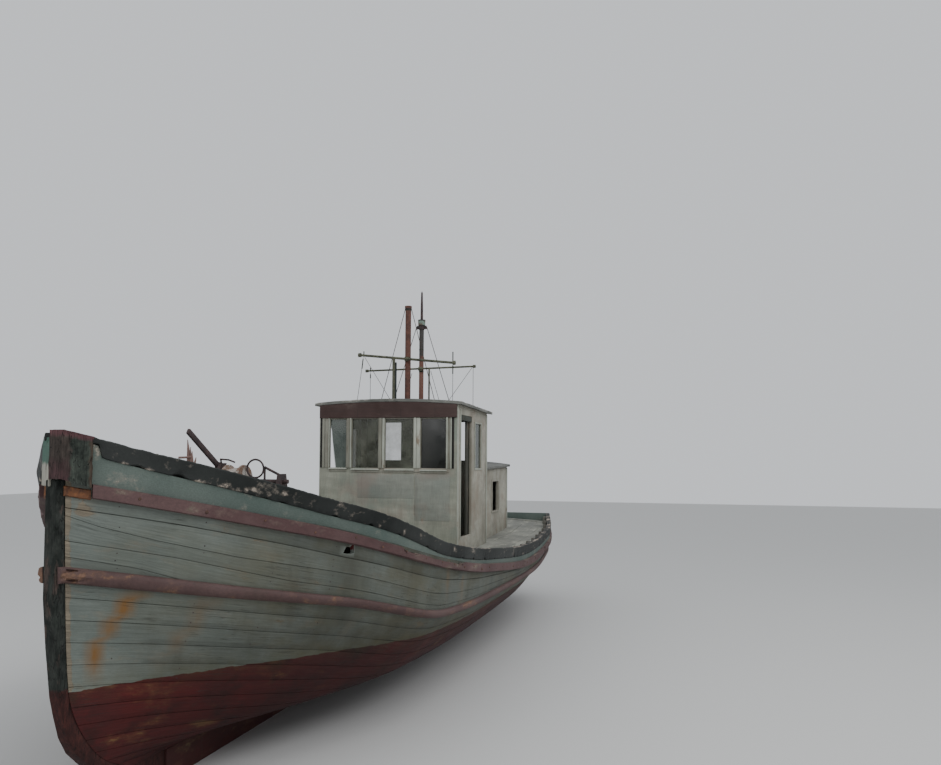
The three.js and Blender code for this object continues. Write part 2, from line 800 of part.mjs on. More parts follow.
// Aft cabin
const cabinEave = (x) =>
  THREE.MathUtils.mapLinear(x, CABIN.front, CABIN.back, CABIN.eaveFront, CABIN.eaveBack);

function cabinSide() {
  const fore = CABIN.front - GAP;
  const aft = CABIN.back + WALL + GAP;
  const w = CABIN_WINDOW;
  const outline = [
    [aft, FOOTING + GAP],
    [fore, FOOTING + GAP],
    [fore, cabinEave(fore) - 1],
    [aft, cabinEave(aft) - 1],
  ];
  return plate(outline, [rect(w.aft, w.fore, w.low, w.high)], CABIN.half - WALL, CABIN.half, acrossY);
}

function cabinBack() {
  const d = CABIN_DOOR;
  const eave = cabinEave(CABIN.back + WALL) - 1.5;
  const foot = [
    [-CABIN.half, FOOTING + GAP],
    [CABIN.half, FOOTING + GAP],
  ];
  const top = arc(CABIN.half, eave, eave + CABIN.crown, CABIN.half);
  return plate([...foot, ...top], [rect(-d.half, d.half, d.low, d.high)], CABIN.back, CABIN.back + WALL, acrossX);
}

function cabinRoof() {
  const reach = CABIN.half + 45;
  const under = arc(CABIN.half, 0, CABIN.crown, reach);
  const over = under.map(([y, z]) => [y, z + 38]).reverse();
  const length = CABIN.front - CABIN.back + 60;
  const slope = (CABIN.eaveBack - CABIN.eaveFront) / (CABIN.front - CABIN.back);
  const lean = (u, v, w) => [CABIN.front - 1 - w, u, CABIN.eaveFront + v + slope * w];
  return plate([...under, ...over], [], 0, length, lean);
}

function cabinDoor() {
  const d = CABIN_DOOR;
  const outline = rect(-d.half + 8, d.half - GAP, d.low + 5, d.high - 5);
  return plate(outline, [], CABIN.back, CABIN.back + 34, acrossX);
}

// Masts, crosstrees and stays
const roofTop = (y) => roofLine(y, HOUSE.half, HOUSE.eave, HOUSE.crown) + ROOF_THICK;

function mastFore() {
  const { x, radius, top } = MAST_FORE;
  const foot = roofTop(0) + GAP;
  return join(
    bar([x, 0, foot], [x, 0, top], radius),
    bar([x, 0, foot], [x, 0, foot + 12], 95),
    bar([x, 0, top - 20], [x, 0, top + 12], radius + 9),
  );
}

function mastAft() {
  const { x, radius, top, staffTop, lug } = MAST_AFT;
  const foot = roofTop(0) + GAP;
  return join(
    bar([x, 0, foot], [x, 0, top], radius),
    bar([x, 0, foot], [x, 0, foot + 12], 85),
    bar([x, 0, top - 5], [x, 0, top + 85], 52, 16, 58),
    bar([x, -lug, top - 18], [x, lug, top - 18], 15, 10),
    bar([x, 0, top + 80], [x, 0, staffTop], 9, 8),
  );
}

// Bar across a mast's fore side, on a clamp, with a post under it
function crosstree(mast, ends, barRadius, postY, postRadius) {
  const x = mast.x + mast.radius + barRadius + 14;
  const [low, high] = ends;
  const zAt = (y) => THREE.MathUtils.mapLinear(y, low[0], high[0], low[1], high[1]);
  const clampZ = zAt(0);
  return join(
    bar([x, ...low], [x, ...high], barRadius, 12),
    box(mast.x + mast.radius + GAP, x, -28, 28, clampZ - 30, clampZ + 30),
    bar([x, postY, roofTop(postY) + 3], [x, postY, zAt(postY)], postRadius, 12),
    bar([x, postY, roofTop(postY) + 2], [x, postY, roofTop(postY) + 14], postRadius * 2, 12),
    bar([x, low[0] - 20, low[1]], [x, low[0] + 20, low[1]], barRadius * 1.7, 10),
    bar([x, high[0] - 20, high[1]], [x, high[0] + 20, high[1]], barRadius * 1.7, 10),
  );
}

const STAY_RADIUS = 5;
const STAY_FOOT = 2;
const stay = (from, to) => bar(from, to, STAY_RADIUS, 8);

function foreStay(sign) {
  const { x, radius, top } = MAST_FORE;
  const y = sign * 420;
  return stay([x, sign * (radius + STAY_RADIUS + GAP), top - 30], [x, y, roofTop(y) + STAY_FOOT]);
}

function aftStay(sign) {
  const { x, top } = MAST_AFT;
  const y = sign * 470;
  return stay([x, sign * (MAST_AFT.lug + STAY_RADIUS + GAP), top - 19], [x, y, roofTop(y) + STAY_FOOT]);
}

// Machinery
function engine() {
  const e = ENGINE_ROOM;
  return box(e.aft + 150, e.fore - 150, -300, 300, e.floor + GAP, FOOTING - 20);
}

function propeller() {
  const { z, radius, post } = SHAFT;
  const x = -4520;
  const profile = [
    [0, -75],
    [36, -60],
    [44, 0],
    [40, 70],
    [0, 70],
  ].map(([r, l]) => new THREE.Vector2(r, l));
  const hub = solid(new THREE.LatheGeometry(profile, 20).rotateZ(-Math.PI / 2).translate(x, 0, z));
  const shaft = bar([x, 0, z], [post + 400, 0, z], radius, 24);
  const outline = [
    // the blade's width at each radius
    [-26, 30],
    [-70, 95],
    [-78, 150],
    [-50, 205],
    [0, 225],
    [50, 205],
    [78, 150],
    [70, 95],
    [26, 30],
  ];
  const blade = geometryOf(plate(outline, [], -6, 6, (u, v, w) => [w, u, v]));
  const blades = [0, 1, 2].map((i) => {
    const turned = blade.clone().rotateZ(THREE.MathUtils.degToRad(55));
    return solid(turned.rotateX((i * 2 * Math.PI) / 3).translate(x, 0, z));
  });
  return join(hub, shaft, ...blades);
}

function rudder() {
  const r = RUDDER;
  const blade = box(r.aft, r.fore, -24, 24, r.low, r.high);
  const stock = bar([r.x, 0, r.low], [r.x, 0, 980], r.stock, 24);
  const pintle = bar([r.x, 0, 22], [r.x, 0, r.low + 5], 15.5, 16);
  const head = cut(stock, box(-6000, -4000, -100, 100, 0, r.low));
  return join(blade, head, pintle);
}

// Finishes: colour, roughness, metalness
const FINISH = {
  planking: ['#7d8a86', 0.85, 0],
  blackTimber: ['#23282a', 0.8, 0],
  darkTimber: ['#3b3434', 0.85, 0],
  maroon: ['#7b5357', 0.8, 0],
  deckWood: ['#6e6a60', 0.9, 0],
  housePaint: ['#8d8f88', 0.85, 0],
  fasciaRed: ['#4c3435', 0.8, 0],
  roofFelt: ['#6d706b', 0.9, 0],
  glass: ['#39413f', 0.15, 0],
  rustIron: ['#6a3a26', 0.9, 0.3],
  greenIron: ['#2c3b33', 0.7, 0.3],
  wire: ['#4b4b48', 0.6, 0.7],
  bronze: ['#7a6337', 0.45, 0.8],
  engineGrey: ['#55605c', 0.6, 0.4],
};

function mesh(name, finish, made) {
  const [color, roughness, metalness] = FINISH[finish];
  const material = new THREE.MeshStandardMaterial({ color, roughness, metalness });
  const piece = new THREE.Mesh(geometryOf(made), material);
  piece.name = name;
  return piece;
}

// A piece made on the port side, and its mirror
const pair = (name, finish, made) => [
  mesh(`${name}_port`, finish, made),
  mesh(`${name}_starboard`, finish, mirrored(made)),
];

const soles = houseSole();
const deck = deckLengths();

const boat = new THREE.Group();
boat.add(
  mesh('hull', 'planking', hull()),
  mesh('keel', 'darkTimber', keel()),
  mesh('stem', 'blackTimber', stem()),
  mesh('transom', 'planking', transom()),
  mesh('deck_fore', 'deckWood', deck.fore),
  ...pair('deck', 'deckWood', deck.port),
  mesh('deck_aft', 'deckWood', deck.aft),
  ...pair('bulwark', 'planking', bulwark(0, 1)),
  ...pair('rail_strake', 'blackTimber', railStrake(BLOCK_END + BUTT, 1)),
  mesh('stern_bulwark', 'planking', sternBulwark()),
  ...pair('upper_guard', 'maroon', upperGuard(BLOCK_END + BUTT, AFT_END)),
  ...pair('lower_guard', 'maroon', lowerGuard(FORE_END, AFT_END)),
  ...pair('bow_block', 'darkTimber', bowBlock()),
  mesh('hatch_coaming', 'deckWood', hatchCoaming()),
  mesh('hatch_cover', 'deckWood', hatchCover()),
  mesh('bitt_post', 'deckWood', bittPost()),
  mesh('winch_frame', 'rustIron', winchFrame()),
  mesh('winch_drum', 'rustIron', winchDrum()),
  mesh('winch_lever', 'rustIron', winchLever()),
  mesh('house_sole', 'deckWood', soles.house),
  mesh('cabin_sole', 'deckWood', soles.cabin),
  mesh('house_front', 'housePaint', houseFront()),
  ...pair('house_side', 'housePaint', houseSide()),
  mesh('house_back', 'housePaint', houseBack()),
  mesh('house_roof', 'roofFelt', houseRoof()),
  mesh('house_fascia', 'fasciaRed', houseFascia()),
  mesh('window_sill', 'housePaint', windowSill()),
  ...pair('house_door', 'housePaint', houseDoor(-1290, HOUSE.half - WALL - 8)),
  ...FRONT_WINDOWS.map((_, i) => mesh(`front_pane_${i + 1}`, 'glass', frontPane(i))),
  ...pair('side_pane', 'glass', sidePane()),
  mesh('helm_bench', 'deckWood', helmBench()),
  mesh('steering_wheel', 'darkTimber', steeringWheel()),
  ...pair('cabin_side', 'housePaint', cabinSide()),
  mesh('cabin_back', 'housePaint', cabinBack()),
  mesh('cabin_roof', 'roofFelt', cabinRoof()),
  mesh('cabin_door', 'housePaint', cabinDoor()),
  mesh('mast_fore', 'rustIron', mastFore()),
  mesh('crosstree_fore', 'greenIron', crosstree(MAST_FORE, [[-718, 3976], [718, 3828]], 18, -190, 21)),
  mesh('mast_aft', 'rustIron', mastAft()),
  mesh('crosstree_aft', 'greenIron', crosstree(MAST_AFT, [[-860, 3814], [850, 3846]], 14, 145, 13)),
  ...[1, -1].map((s) => mesh(`fore_stay_${s > 0 ? 'port' : 'starboard'}`, 'wire', foreStay(s))),
  ...[1, -1].map((s) => mesh(`aft_stay_${s > 0 ? 'port' : 'starboard'}`, 'wire', aftStay(s))),
  mesh('engine', 'engineGrey', engine()),
  mesh('propeller', 'bronze', propeller()),
  mesh('rudder', 'darkTimber', rudder()),
);

export default boat;
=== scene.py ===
import math
import random
from functools import lru_cache

import bmesh
import bpy
import numpy as np
from mathutils import Matrix, Vector, noise


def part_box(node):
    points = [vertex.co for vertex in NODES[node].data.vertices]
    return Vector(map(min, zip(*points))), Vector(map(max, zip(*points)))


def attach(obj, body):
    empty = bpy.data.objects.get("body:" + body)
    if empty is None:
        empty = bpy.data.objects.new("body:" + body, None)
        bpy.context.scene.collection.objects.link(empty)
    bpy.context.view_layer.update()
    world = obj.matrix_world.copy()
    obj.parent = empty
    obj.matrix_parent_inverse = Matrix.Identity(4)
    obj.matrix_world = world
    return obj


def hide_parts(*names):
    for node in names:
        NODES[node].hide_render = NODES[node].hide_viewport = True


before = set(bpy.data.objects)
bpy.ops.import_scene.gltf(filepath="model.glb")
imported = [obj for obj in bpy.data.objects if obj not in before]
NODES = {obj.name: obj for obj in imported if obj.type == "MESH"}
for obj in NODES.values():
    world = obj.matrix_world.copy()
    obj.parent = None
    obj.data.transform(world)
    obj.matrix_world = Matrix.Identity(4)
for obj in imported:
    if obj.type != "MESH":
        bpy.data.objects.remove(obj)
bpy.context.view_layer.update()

# An old wooden fishing boat on its keel. +X is forward, +Y is port, +Z is up, in metres.
bl_info = {
    "name": "Old Wooden Fishing Boat",
    "version": (1, 0, 0),
    "blender": (4, 5, 0),
    "location": "View3D > Sidebar > Boat",
    "description": "Planks, timbers, plywood, glass and rigging for an old fishing boat",
    "category": "Object",
}

# Lines of the hull, as in the frame: nine stations, six lines from the rabbet to the rail
STATIONS = (0, 0.03, 0.075, 0.15, 0.28, 0.42, 0.645, 0.845, 1)
LINES = (
    # fore end, aft end, heights, half-breadths
    (4.700, -5.325, (0.250, 0.245, 0.240, 0.235, 0.230, 0.232, 0.240, 0.500, 0.640),
     (0.070, 0.078, 0.088, 0.090, 0.090, 0.090, 0.090, 0.090, 0.110)),
    (5.020, -5.335, (0.430, 0.410, 0.395, 0.390, 0.400, 0.407, 0.420, 0.570, 0.720),
     (0.070, 0.170, 0.360, 0.720, 1.150, 1.270, 1.300, 0.960, 0.600)),
    (5.335, -5.345, (0.940, 0.932, 0.922, 0.890, 0.815, 0.792, 0.775, 0.775, 0.830),
     (0.070, 0.240, 0.560, 1.050, 1.560, 1.672, 1.700, 1.450, 1.120)),
    (5.395, -5.375, (1.698, 1.620, 1.502, 1.325, 1.015, 0.948, 0.900, 0.930, 1.020),
     (0.070, 0.335, 0.770, 1.320, 1.695, 1.762, 1.775, 1.640, 1.350)),
    (5.415, -5.415, (2.305, 2.220, 2.080, 1.863, 1.520, 1.301, 1.110, 1.150, 1.280),
     (0.070, 0.375, 0.850, 1.415, 1.735, 1.788, 1.795, 1.690, 1.410)),
    (5.420, -5.435, (2.625, 2.500, 2.325, 2.055, 1.670, 1.468, 1.300, 1.340, 1.470),
     (0.070, 0.405, 0.905, 1.460, 1.748, 1.795, 1.800, 1.700, 1.425)),
)
PAINT_LINE = 2
LOWER_GUARD = 3
SHEER = 4
RAIL = 5
FORE_END = 0.004
BLOCK_END = 0.0105
AFT_END = 0.985
BULWARK_THICK = 0.050
CAP_HEIGHT = 0.050
STRAKE_HEIGHT = 0.125
STRAKE_PROUD = 0.012
STRAKE_START = 0.0129
UPPER_GUARD_HEIGHT = 0.095
UPPER_GUARD_SUNK = 0.022
LOWER_GUARD_HEIGHT = 0.075
GUARD_PROUD = 0.045
BOW_FLAT = 0.031
STEM_SHORT = 0.035
BED_DROP = 0.014

HOUSE = {"front": -0.620, "back": -2.290, "half": 0.980}
CABIN = {"front": -2.290, "back": -4.360, "half": 0.850, "eave_front": 2.295, "eave_back": 2.345}
ROOF = {"fore": -0.588, "aft": -2.382, "half": 1.058, "top": 3.273, "camber_fore": 0.048, "camber_aft": 0.091}
ROOF_THICK = 0.045
DOORWAY = {"fore": -0.800, "aft": -1.400, "low": 1.410}
SIDE_WINDOW = {"fore": -1.560, "aft": -1.920, "low": 2.330, "high": 2.970}
FRONT_WINDOWS = ((-0.836, -0.585), (-0.511, -0.119), (-0.032, 0.380), (0.474, 0.836))
FRONT_SILL = 2.335
FRONT_HEAD = 3.010
BACK_WINDOW = {"inner": 0.390, "outer": 0.700, "high": 2.980}
CABIN_WINDOW = {"fore": -3.220, "aft": -3.660, "low": 1.620, "high": 2.100}
HATCH = {"aft": 0.100, "fore": 1.300, "half": 0.520, "wall": 0.060, "floor": 0.560}
MAST_FORE_X = -1.450
MAST_AFT_X = -2.080


def through(knots, values, t):
    """Value at t of a smooth curve through the knots that never overshoots them."""
    i = 0
    while i < len(knots) - 2 and t > knots[i + 1]:
        i += 1

    def rise(k):
        return (values[k + 1] - values[k]) / (knots[k + 1] - knots[k])

    def slope(k):
        if k in (0, len(knots) - 1):
            return rise(min(k, len(knots) - 2))
        a, b = rise(k - 1), rise(k)
        return 0.0 if a * b <= 0 else 2 * a * b / (a + b)

    h = knots[i + 1] - knots[i]
    u = (t - knots[i]) / h
    return (
        (2 * u**3 - 3 * u**2 + 1) * values[i]
        + (u**3 - 2 * u**2 + u) * h * slope(i)
        + (3 * u**2 - 2 * u**3) * values[i + 1]
        + (u**3 - u**2) * h * slope(i + 1)
    )


@lru_cache(maxsize=None)
def lines_at(t):
    return tuple(
        (fore + (aft - fore) * t, through(STATIONS, y, t), through(STATIONS, z, t))
        for fore, aft, z, y in LINES
    )


def hull_point(t, level):
    at = lines_at(t)
    return np.array([through(range(6), [p[axis] for p in at], level) for axis in range(3)])


def level_at(t, level, rise):
    """Level that lies a height above or below a whole level."""
    here = hull_point(t, level)[2]
    step = math.copysign(1, rise)
    there = hull_point(t, level + step)[2]
    share = rise / (there - here)
    for _ in range(6):
        share += (here + rise - hull_point(t, level + step * share)[2]) / (there - here)
    return level + step * share


def outward(t, level):
    a = hull_point(max(0.0, t - 0.004), level)
    b = hull_point(min(1.0, t + 0.004), level)
    v = np.array([b[1] - a[1], a[0] - b[0], 0.0])
    return v / np.linalg.norm(v)


def side(t, level, out=0.0, up=0.0):
    p = hull_point(t, level) + outward(t, level) * out
    p[2] += up
    return p


def spread(t0, t1, count):
    return [t0 + (t1 - t0) * k / (count - 1) for k in range(count)]


def smoothstep(low, high, value):
    s = min(1.0, max(0.0, (value - low) / (high - low)))
    return s * s * (3 - 2 * s)


def rough(x, z, size, seed=0.0):
    """Smooth noise for worn edges."""
    return noise.noise(Vector((x * size, z * size, seed))) * 2


def spot_at(x, z, spots):
    """Strongest of the round spots at a place; a spot is x, height, half length, half height, strength."""
    return max((s * max(0.0, 1 - ((x - cx) / lx) ** 2 - ((z - cz) / lz) ** 2) for cx, cz, lx, lz, s in spots),
               default=0.0)


# Making meshes
M = {}


def placed(name, data):
    data.name = name
    piece = bpy.data.objects.new(name, data)
    bpy.context.scene.collection.objects.link(piece)
    return piece


def new_piece(name, verts, faces, uvs=None, attributes=None, smooth=False):
    mesh = bpy.data.meshes.new(name)
    mesh.from_pydata([tuple(v) for v in verts], [], faces)
    if uvs is not None:
        layer = mesh.uv_layers.new(name="UVMap")
        for loop in mesh.loops:
            layer.data[loop.index].uv = uvs[loop.vertex_index]
    for key, values in (attributes or {}).items():
        attribute = mesh.attributes.new(key, "FLOAT", "POINT")
        attribute.data.foreach_set("value", [float(v) for v in values])
    for polygon in mesh.polygons:
        polygon.use_smooth = smooth
    mesh.validate()
    mesh.update()
    return placed(name, mesh)


def edited(piece, change):
    """The piece after a change to its mesh."""
    bm = bmesh.new()
    bm.from_mesh(piece.data)
    change(bm)
    bm.to_mesh(piece.data)
    bm.free()
    return piece


def face_outward(piece):
    def change(bm):
        bmesh.ops.remove_doubles(bm, verts=bm.verts, dist=1e-6)
        bmesh.ops.recalc_face_normals(bm, faces=bm.faces)

    return edited(piece, change)


def settle(piece):
    """Turns a piece's modifiers into its mesh."""
    graph = bpy.context.evaluated_depsgraph_get()
    made = bpy.data.meshes.new_from_object(piece.evaluated_get(graph), depsgraph=graph)
    made.name = piece.name
    piece.modifiers.clear()
    piece.data = made
    return piece


def modified(piece, kind, **values):
    """The piece with one modifier settled into its mesh."""
    modifier = piece.modifiers.new(kind.title(), kind)
    for name, value in values.items():
        setattr(modifier, name, value)
    return settle(piece)


def shade_by_angle(piece, degrees=35):
    def change(bm):
        for edge in bm.edges:
            edge.smooth = len(edge.link_faces) == 2 and edge.calc_face_angle(math.pi) < math.radians(degrees)

    for polygon in piece.data.polygons:
        polygon.use_smooth = True
    return edited(piece, change)


def rounded(piece, width=0.004, segments=2, angle=30):
    modified(piece, "BEVEL", width=width, segments=segments, limit_method="ANGLE",
             angle_limit=math.radians(angle))
    return shade_by_angle(piece, 40)


def finish_piece(piece, finish, body="boat", replaces=()):
    piece.data.materials.clear()
    piece.data.materials.append(M[finish])
    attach(piece, body)
    if replaces:
        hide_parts(*replaces)
    return piece


def joined(name, pieces):
    """One piece from several."""
    bm = bmesh.new()
    for piece in pieces:
        bm.from_mesh(piece.data)
        bpy.data.objects.remove(piece)
    mesh = bpy.data.meshes.new(name)
    bm.to_mesh(mesh)
    bm.free()
    return placed(name, mesh)


def copy_of_node(node, ending="_worn"):
    """Closed copy of a frame solid, with its doubles merged and its flat faces whole."""
    def change(bm):
        bmesh.ops.remove_doubles(bm, verts=bm.verts, dist=1e-5)
        bmesh.ops.dissolve_limit(bm, angle_limit=math.radians(0.5), verts=bm.verts, edges=bm.edges)

    return edited(placed(node + ending, NODES[node].data.copy()), change)


def worn_nodes(finish, slot, width, *nodes, body="boat"):
    """The nodes' own shapes with worn, rounded edges, in the nodes' places."""
    for node in nodes:
        finish_piece(rounded(copy_of_node(node), width), finish, body, (node,))


def dress(finish, *nodes):
    """Give nodes of the frame a finish."""
    for node in nodes:
        NODES[node].data.materials.clear()
        NODES[node].data.materials.append(M[finish])


def pair_of(node):
    return node + "_port", node + "_starboard"


def box_piece(name, low, high):
    verts = [(x, y, z) for x in (low[0], high[0]) for y in (low[1], high[1]) for z in (low[2], high[2])]
    faces = [(0, 1, 3, 2), (4, 6, 7, 5), (0, 4, 5, 1), (2, 3, 7, 6), (0, 2, 6, 4), (1, 5, 7, 3)]
    return new_piece(name, verts, faces)


def box_set(name, boxes, finish, width=0.002, body="boat", replaces=()):
    """One piece from boxes, each given by two corners, with worn edges."""
    piece = joined(name, [box_piece("part", low, high) for low, high in boxes])
    return finish_piece(rounded(piece, width), finish, body, replaces)


def grid_faces(columns, rows):
    """Faces of a grid whose points are listed column by column."""
    starts = [c * rows + r for c in range(columns - 1) for r in range(rows - 1)]
    return [(a, a + rows, a + rows + 1, a + 1) for a in starts]


def loft_piece(name, rings, uvs=None, attributes=None):
    """Rings of equal length joined in order, capped at both ends."""
    count = len(rings[0])
    verts = [p for ring in rings for p in ring]
    faces = []
    for k in range(0, len(verts) - count, count):
        for i in range(count):
            j = (i + 1) % count
            faces.append((k + i, k + j, k + count + j, k + count + i))
    faces.append(tuple(reversed(range(count))))
    faces.append(tuple(range(len(verts) - count, len(verts))))
    return new_piece(name, verts, faces, uvs, attributes)


def bar_piece(name, points, radius, sides=10):
    """Round bar through points; the radius is one value, or one for each point."""
    points = [Vector(p) for p in points]
    last = len(points) - 1
    rings = []
    for k, point in enumerate(points):
        ahead = points[min(k + 1, last)] - points[max(k - 1, 0)]
        turn = ahead.normalized().to_track_quat("Z", "Y").to_matrix()
        r = radius[k] if isinstance(radius, list) else radius
        angles = [2 * math.pi * i / sides for i in range(sides)]
        rings.append([point + turn @ Vector((r * math.cos(a), r * math.sin(a), 0)) for a in angles])
    return loft_piece(name, rings)


def mirrored_mesh(mesh):
    mesh = mesh.copy()
    mesh.transform(Matrix.Scale(-1, 4, (0, 1, 0)))
    mesh.flip_normals()
    return mesh


# Node trees, for the finishes and for small pieces that repeat
def new_tree(kind, name, inputs, outputs):
    """A tree with its sockets, each given as label, kind and default."""
    tree = bpy.data.node_groups.new(name, kind)
    for way, sockets in (("INPUT", inputs), ("OUTPUT", outputs)):
        for label, sort, *default in sockets:
            socket = tree.interface.new_socket(label, in_out=way, socket_type="NodeSocket" + sort)
            if default:
                socket.default_value = default[0]
    return tree, tree.nodes.new("NodeGroupInput"), tree.nodes.new("NodeGroupOutput")


class Wiring:
    """Short calls for the nodes that the finishes share."""

    def __init__(self, tree):
        self.tree = tree

    def feed(self, socket, value):
        if isinstance(value, bpy.types.NodeSocket):
            self.tree.links.new(value, socket)
        else:
            socket.default_value = (*value, 1.0) if socket.type == "RGBA" else value

    def add(self, kind, out, inputs, **settings):
        """One output of a new node, with its settings made and its inputs fed."""
        node = self.tree.nodes.new("ShaderNode" + kind)
        for name, value in settings.items():
            setattr(node, name, value)
        for key, value in inputs.items():
            self.feed(node.inputs[key], value)
        return node.outputs[out]

    def coordinates(self, kind="Object"):
        return self.add("TexCoord", kind, {})

    def attribute(self, name):
        return self.add("Attribute", "Fac", {}, attribute_name=name)

    def axis(self, vector, name):
        return self.add("SeparateXYZ", name, {0: vector})

    def mapped(self, vector, scale=(1, 1, 1), location=(0, 0, 0), rotation=(0, 0, 0)):
        return self.add("Mapping", "Vector", {"Vector": vector, "Scale": scale, "Location": location,
                                              "Rotation": rotation})

    def math(self, kind, *values, clamp=False):
        return self.add("Math", 0, dict(enumerate(values)), operation=kind, use_clamp=clamp)

    def times(self, a, b):
        return self.math("MULTIPLY", a, b)

    def plus(self, a, b):
        return self.math("ADD", a, b)

    def minus(self, a, b):
        return self.math("SUBTRACT", a, b)

    def ramp(self, value, low, high, least=0.0, most=1.0):
        return self.add("MapRange", "Result", {"Value": value, "From Min": low, "From Max": high,
                                               "To Min": least, "To Max": most}, clamp=True)

    def noise(self, vector, scale, detail=4.0, roughness=0.55):
        return self.add("TexNoise", "Fac", {"Vector": vector, "Scale": scale, "Detail": detail,
                                            "Roughness": roughness})

    def cloud(self, vector, grain, span, to=(0.0, 1.0)):
        """Noise, given by its scale, detail and roughness, with a span of it drawn out to a range."""
        return self.ramp(self.noise(vector, *grain), *span, *to)

    def wobble(self, vector, scale, detail, size):
        """Noise on both sides of zero."""
        return self.times(self.minus(self.noise(vector, scale, detail), 0.5), size)

    def cracks(self, vector, grain, width):
        """Thin lines where the noise passes its middle."""
        return self.ramp(self.math("ABSOLUTE", self.minus(self.noise(vector, *grain), 0.5)), 0, width, 1, 0)

    def coats(self, color, *coats):
        """The colour under coats, each given as its share and its own colour."""
        for share, coat in coats:
            color = self.add("Mix", 2, {0: share, 6: color, 7: coat}, data_type="RGBA", clamp_factor=True)
        return color

    def shade(self, color, value):
        """The colour times a number."""
        return self.add("VectorMath", 0, {0: color, "Scale": value}, operation="SCALE")

    def group(self, kind, **inputs):
        """Outputs of a shared group, by name."""
        node = self.tree.nodes.new("ShaderNodeGroup")
        node.node_tree = TREES[kind]
        for label, value in inputs.items():
            self.feed(node.inputs[label.replace("_", " ")], value)
        return node.outputs

    def dirt(self, vector, amount, size=7.0):
        return self.group("runs", Vector=vector, Amount=amount, Size=size)["Mask"]


TREES = {}


def finish_tree(name, inputs, outputs):
    """A shader group with its wiring, its inputs by name and a call that feeds its outputs."""
    tree, start, end = new_tree("ShaderNodeTree", name, [("Vector", "Vector"), *inputs], outputs)
    w = Wiring(tree)

    def give(**results):
        for label, value in results.items():
            w.feed(end.inputs[label], value)
        return tree

    return w, start.outputs, give


def paint_tree():
    """Old paint over timber: fading, grain under the paint, chips down to the wood."""
    w, s, give = finish_tree(
        "Old paint on timber",
        [("Paint", "Color", (0.3, 0.3, 0.3, 1)), ("Faded", "Color", (0.4, 0.4, 0.4, 1)),
         ("Bare", "Color", (0.4, 0.33, 0.25, 1)), ("Wear", "Float", 0.3), ("Chip size", "Float", 6.0),
         ("Grain size", "Float", 60.0), ("Chips here", "Float", 0.0)],
        [("Color", "Color"), ("Roughness", "Float"), ("Height", "Float")])
    vector, size = s["Vector"], s["Grain size"]
    grain = w.noise(w.mapped(vector, (0.06, 1, 1)), size, 5, 0.7)
    fine = w.noise(w.mapped(vector, (0.25, 1, 1)), w.times(size, 3.0), 3, 0.6)
    chips = w.cloud(w.mapped(vector, (0.4, 1, 1)), (s["Chip size"], 8, 0.68), (0.3, 0.7))
    chips = w.plus(chips, w.times(s["Chips here"], 0.34))
    edge = w.minus(1.12, w.times(s["Wear"], 0.55))
    bare = w.ramp(chips, edge, w.plus(edge, 0.04))
    worn = w.ramp(chips, w.minus(edge, 0.25), edge)
    faded = w.cloud(vector, (1.3, 5, 0.6), (0.38, 0.62))
    paint = w.coats(s["Paint"], (faded, s["Faded"]), (w.times(worn, 0.35), s["Bare"]))
    paint = w.shade(paint, w.ramp(grain, 0.3, 0.7, 0.8, 1.15))
    wood = w.shade(s["Bare"], w.ramp(grain, 0.3, 0.7, 0.55, 1.25))
    relief = w.plus(w.times(grain, 0.35), w.times(fine, 0.1))
    return give(Color=w.shade(w.coats(paint, (bare, wood)), w.ramp(fine, 0.3, 0.7, 0.93, 1.06)),
                Roughness=w.ramp(grain, 0.2, 0.8, 0.6, 0.85),
                Height=w.minus(relief, w.times(bare, 0.5)))


def runs_tree():
    """Vertical dirt and rust runs."""
    w, s, give = finish_tree("Runs of dirt", [("Size", "Float", 7.0), ("Amount", "Float", 0.5)],
                             [("Mask", "Float")])
    thin = w.noise(w.mapped(s["Vector"], (1, 1, 0.09)), s["Size"], 6, 0.6)
    broad = w.noise(s["Vector"], 1.1, 3, 0.5)
    low = w.minus(0.72, w.times(s["Amount"], 0.32))
    return give(Mask=w.ramp(w.plus(w.times(thin, 0.7), w.times(broad, 0.3)), low, w.plus(low, 0.2)))


def rust_tree():
    """Rust in scales and powder."""
    w, s, give = finish_tree(
        "Rust", [("Size", "Float", 20.0), ("Light", "Color", (0.4, 0.15, 0.05, 1)),
                 ("Dark", "Color", (0.07, 0.03, 0.02, 1))],
        [("Color", "Color"), ("Roughness", "Float"), ("Height", "Float"), ("Mask", "Float")])
    scales = w.noise(s["Vector"], s["Size"], 7, 0.7)
    powder = w.noise(s["Vector"], w.times(s["Size"], 6.0), 4, 0.6)
    return give(Color=w.coats(s["Dark"], (w.ramp(scales, 0.35, 0.65), s["Light"])),
                Roughness=w.ramp(powder, 0.2, 0.8, 0.7, 0.95),
                Height=w.plus(scales, w.times(powder, 0.25)),
                Mask=w.ramp(scales, 0.42, 0.55))


def growing_tree(name, inputs, kinds, links):
    """A geometry tree of labelled nodes, each given as its kind, its settings and values for its inputs.

    A link says "node.socket > node.socket"."""
    tree, start, end = new_tree(
        "GeometryNodeTree", name,
        [("Geometry", "Geometry"), ("Radius", "Float"), ("Sides", "Int"), ("Finish", "Material"), *inputs],
        [("Geometry", "Geometry")])
    nodes = {"start": start, "end": end}
    for label, (kind, settings, values) in kinds.items():
        node = nodes[label] = tree.nodes.new(kind)
        for key, value in settings.items():
            setattr(node, key, value)
        for key, value in values.items():
            node.inputs[key].default_value = value

    def socket(sockets, key):
        return sockets[int(key) if key.isdigit() else key]

    for line in links:
        (a, out), (b, into) = (place.split(".") for place in line.split(" > "))
        tree.links.new(socket(nodes[a].outputs, out), socket(nodes[b].inputs, into))
    return tree


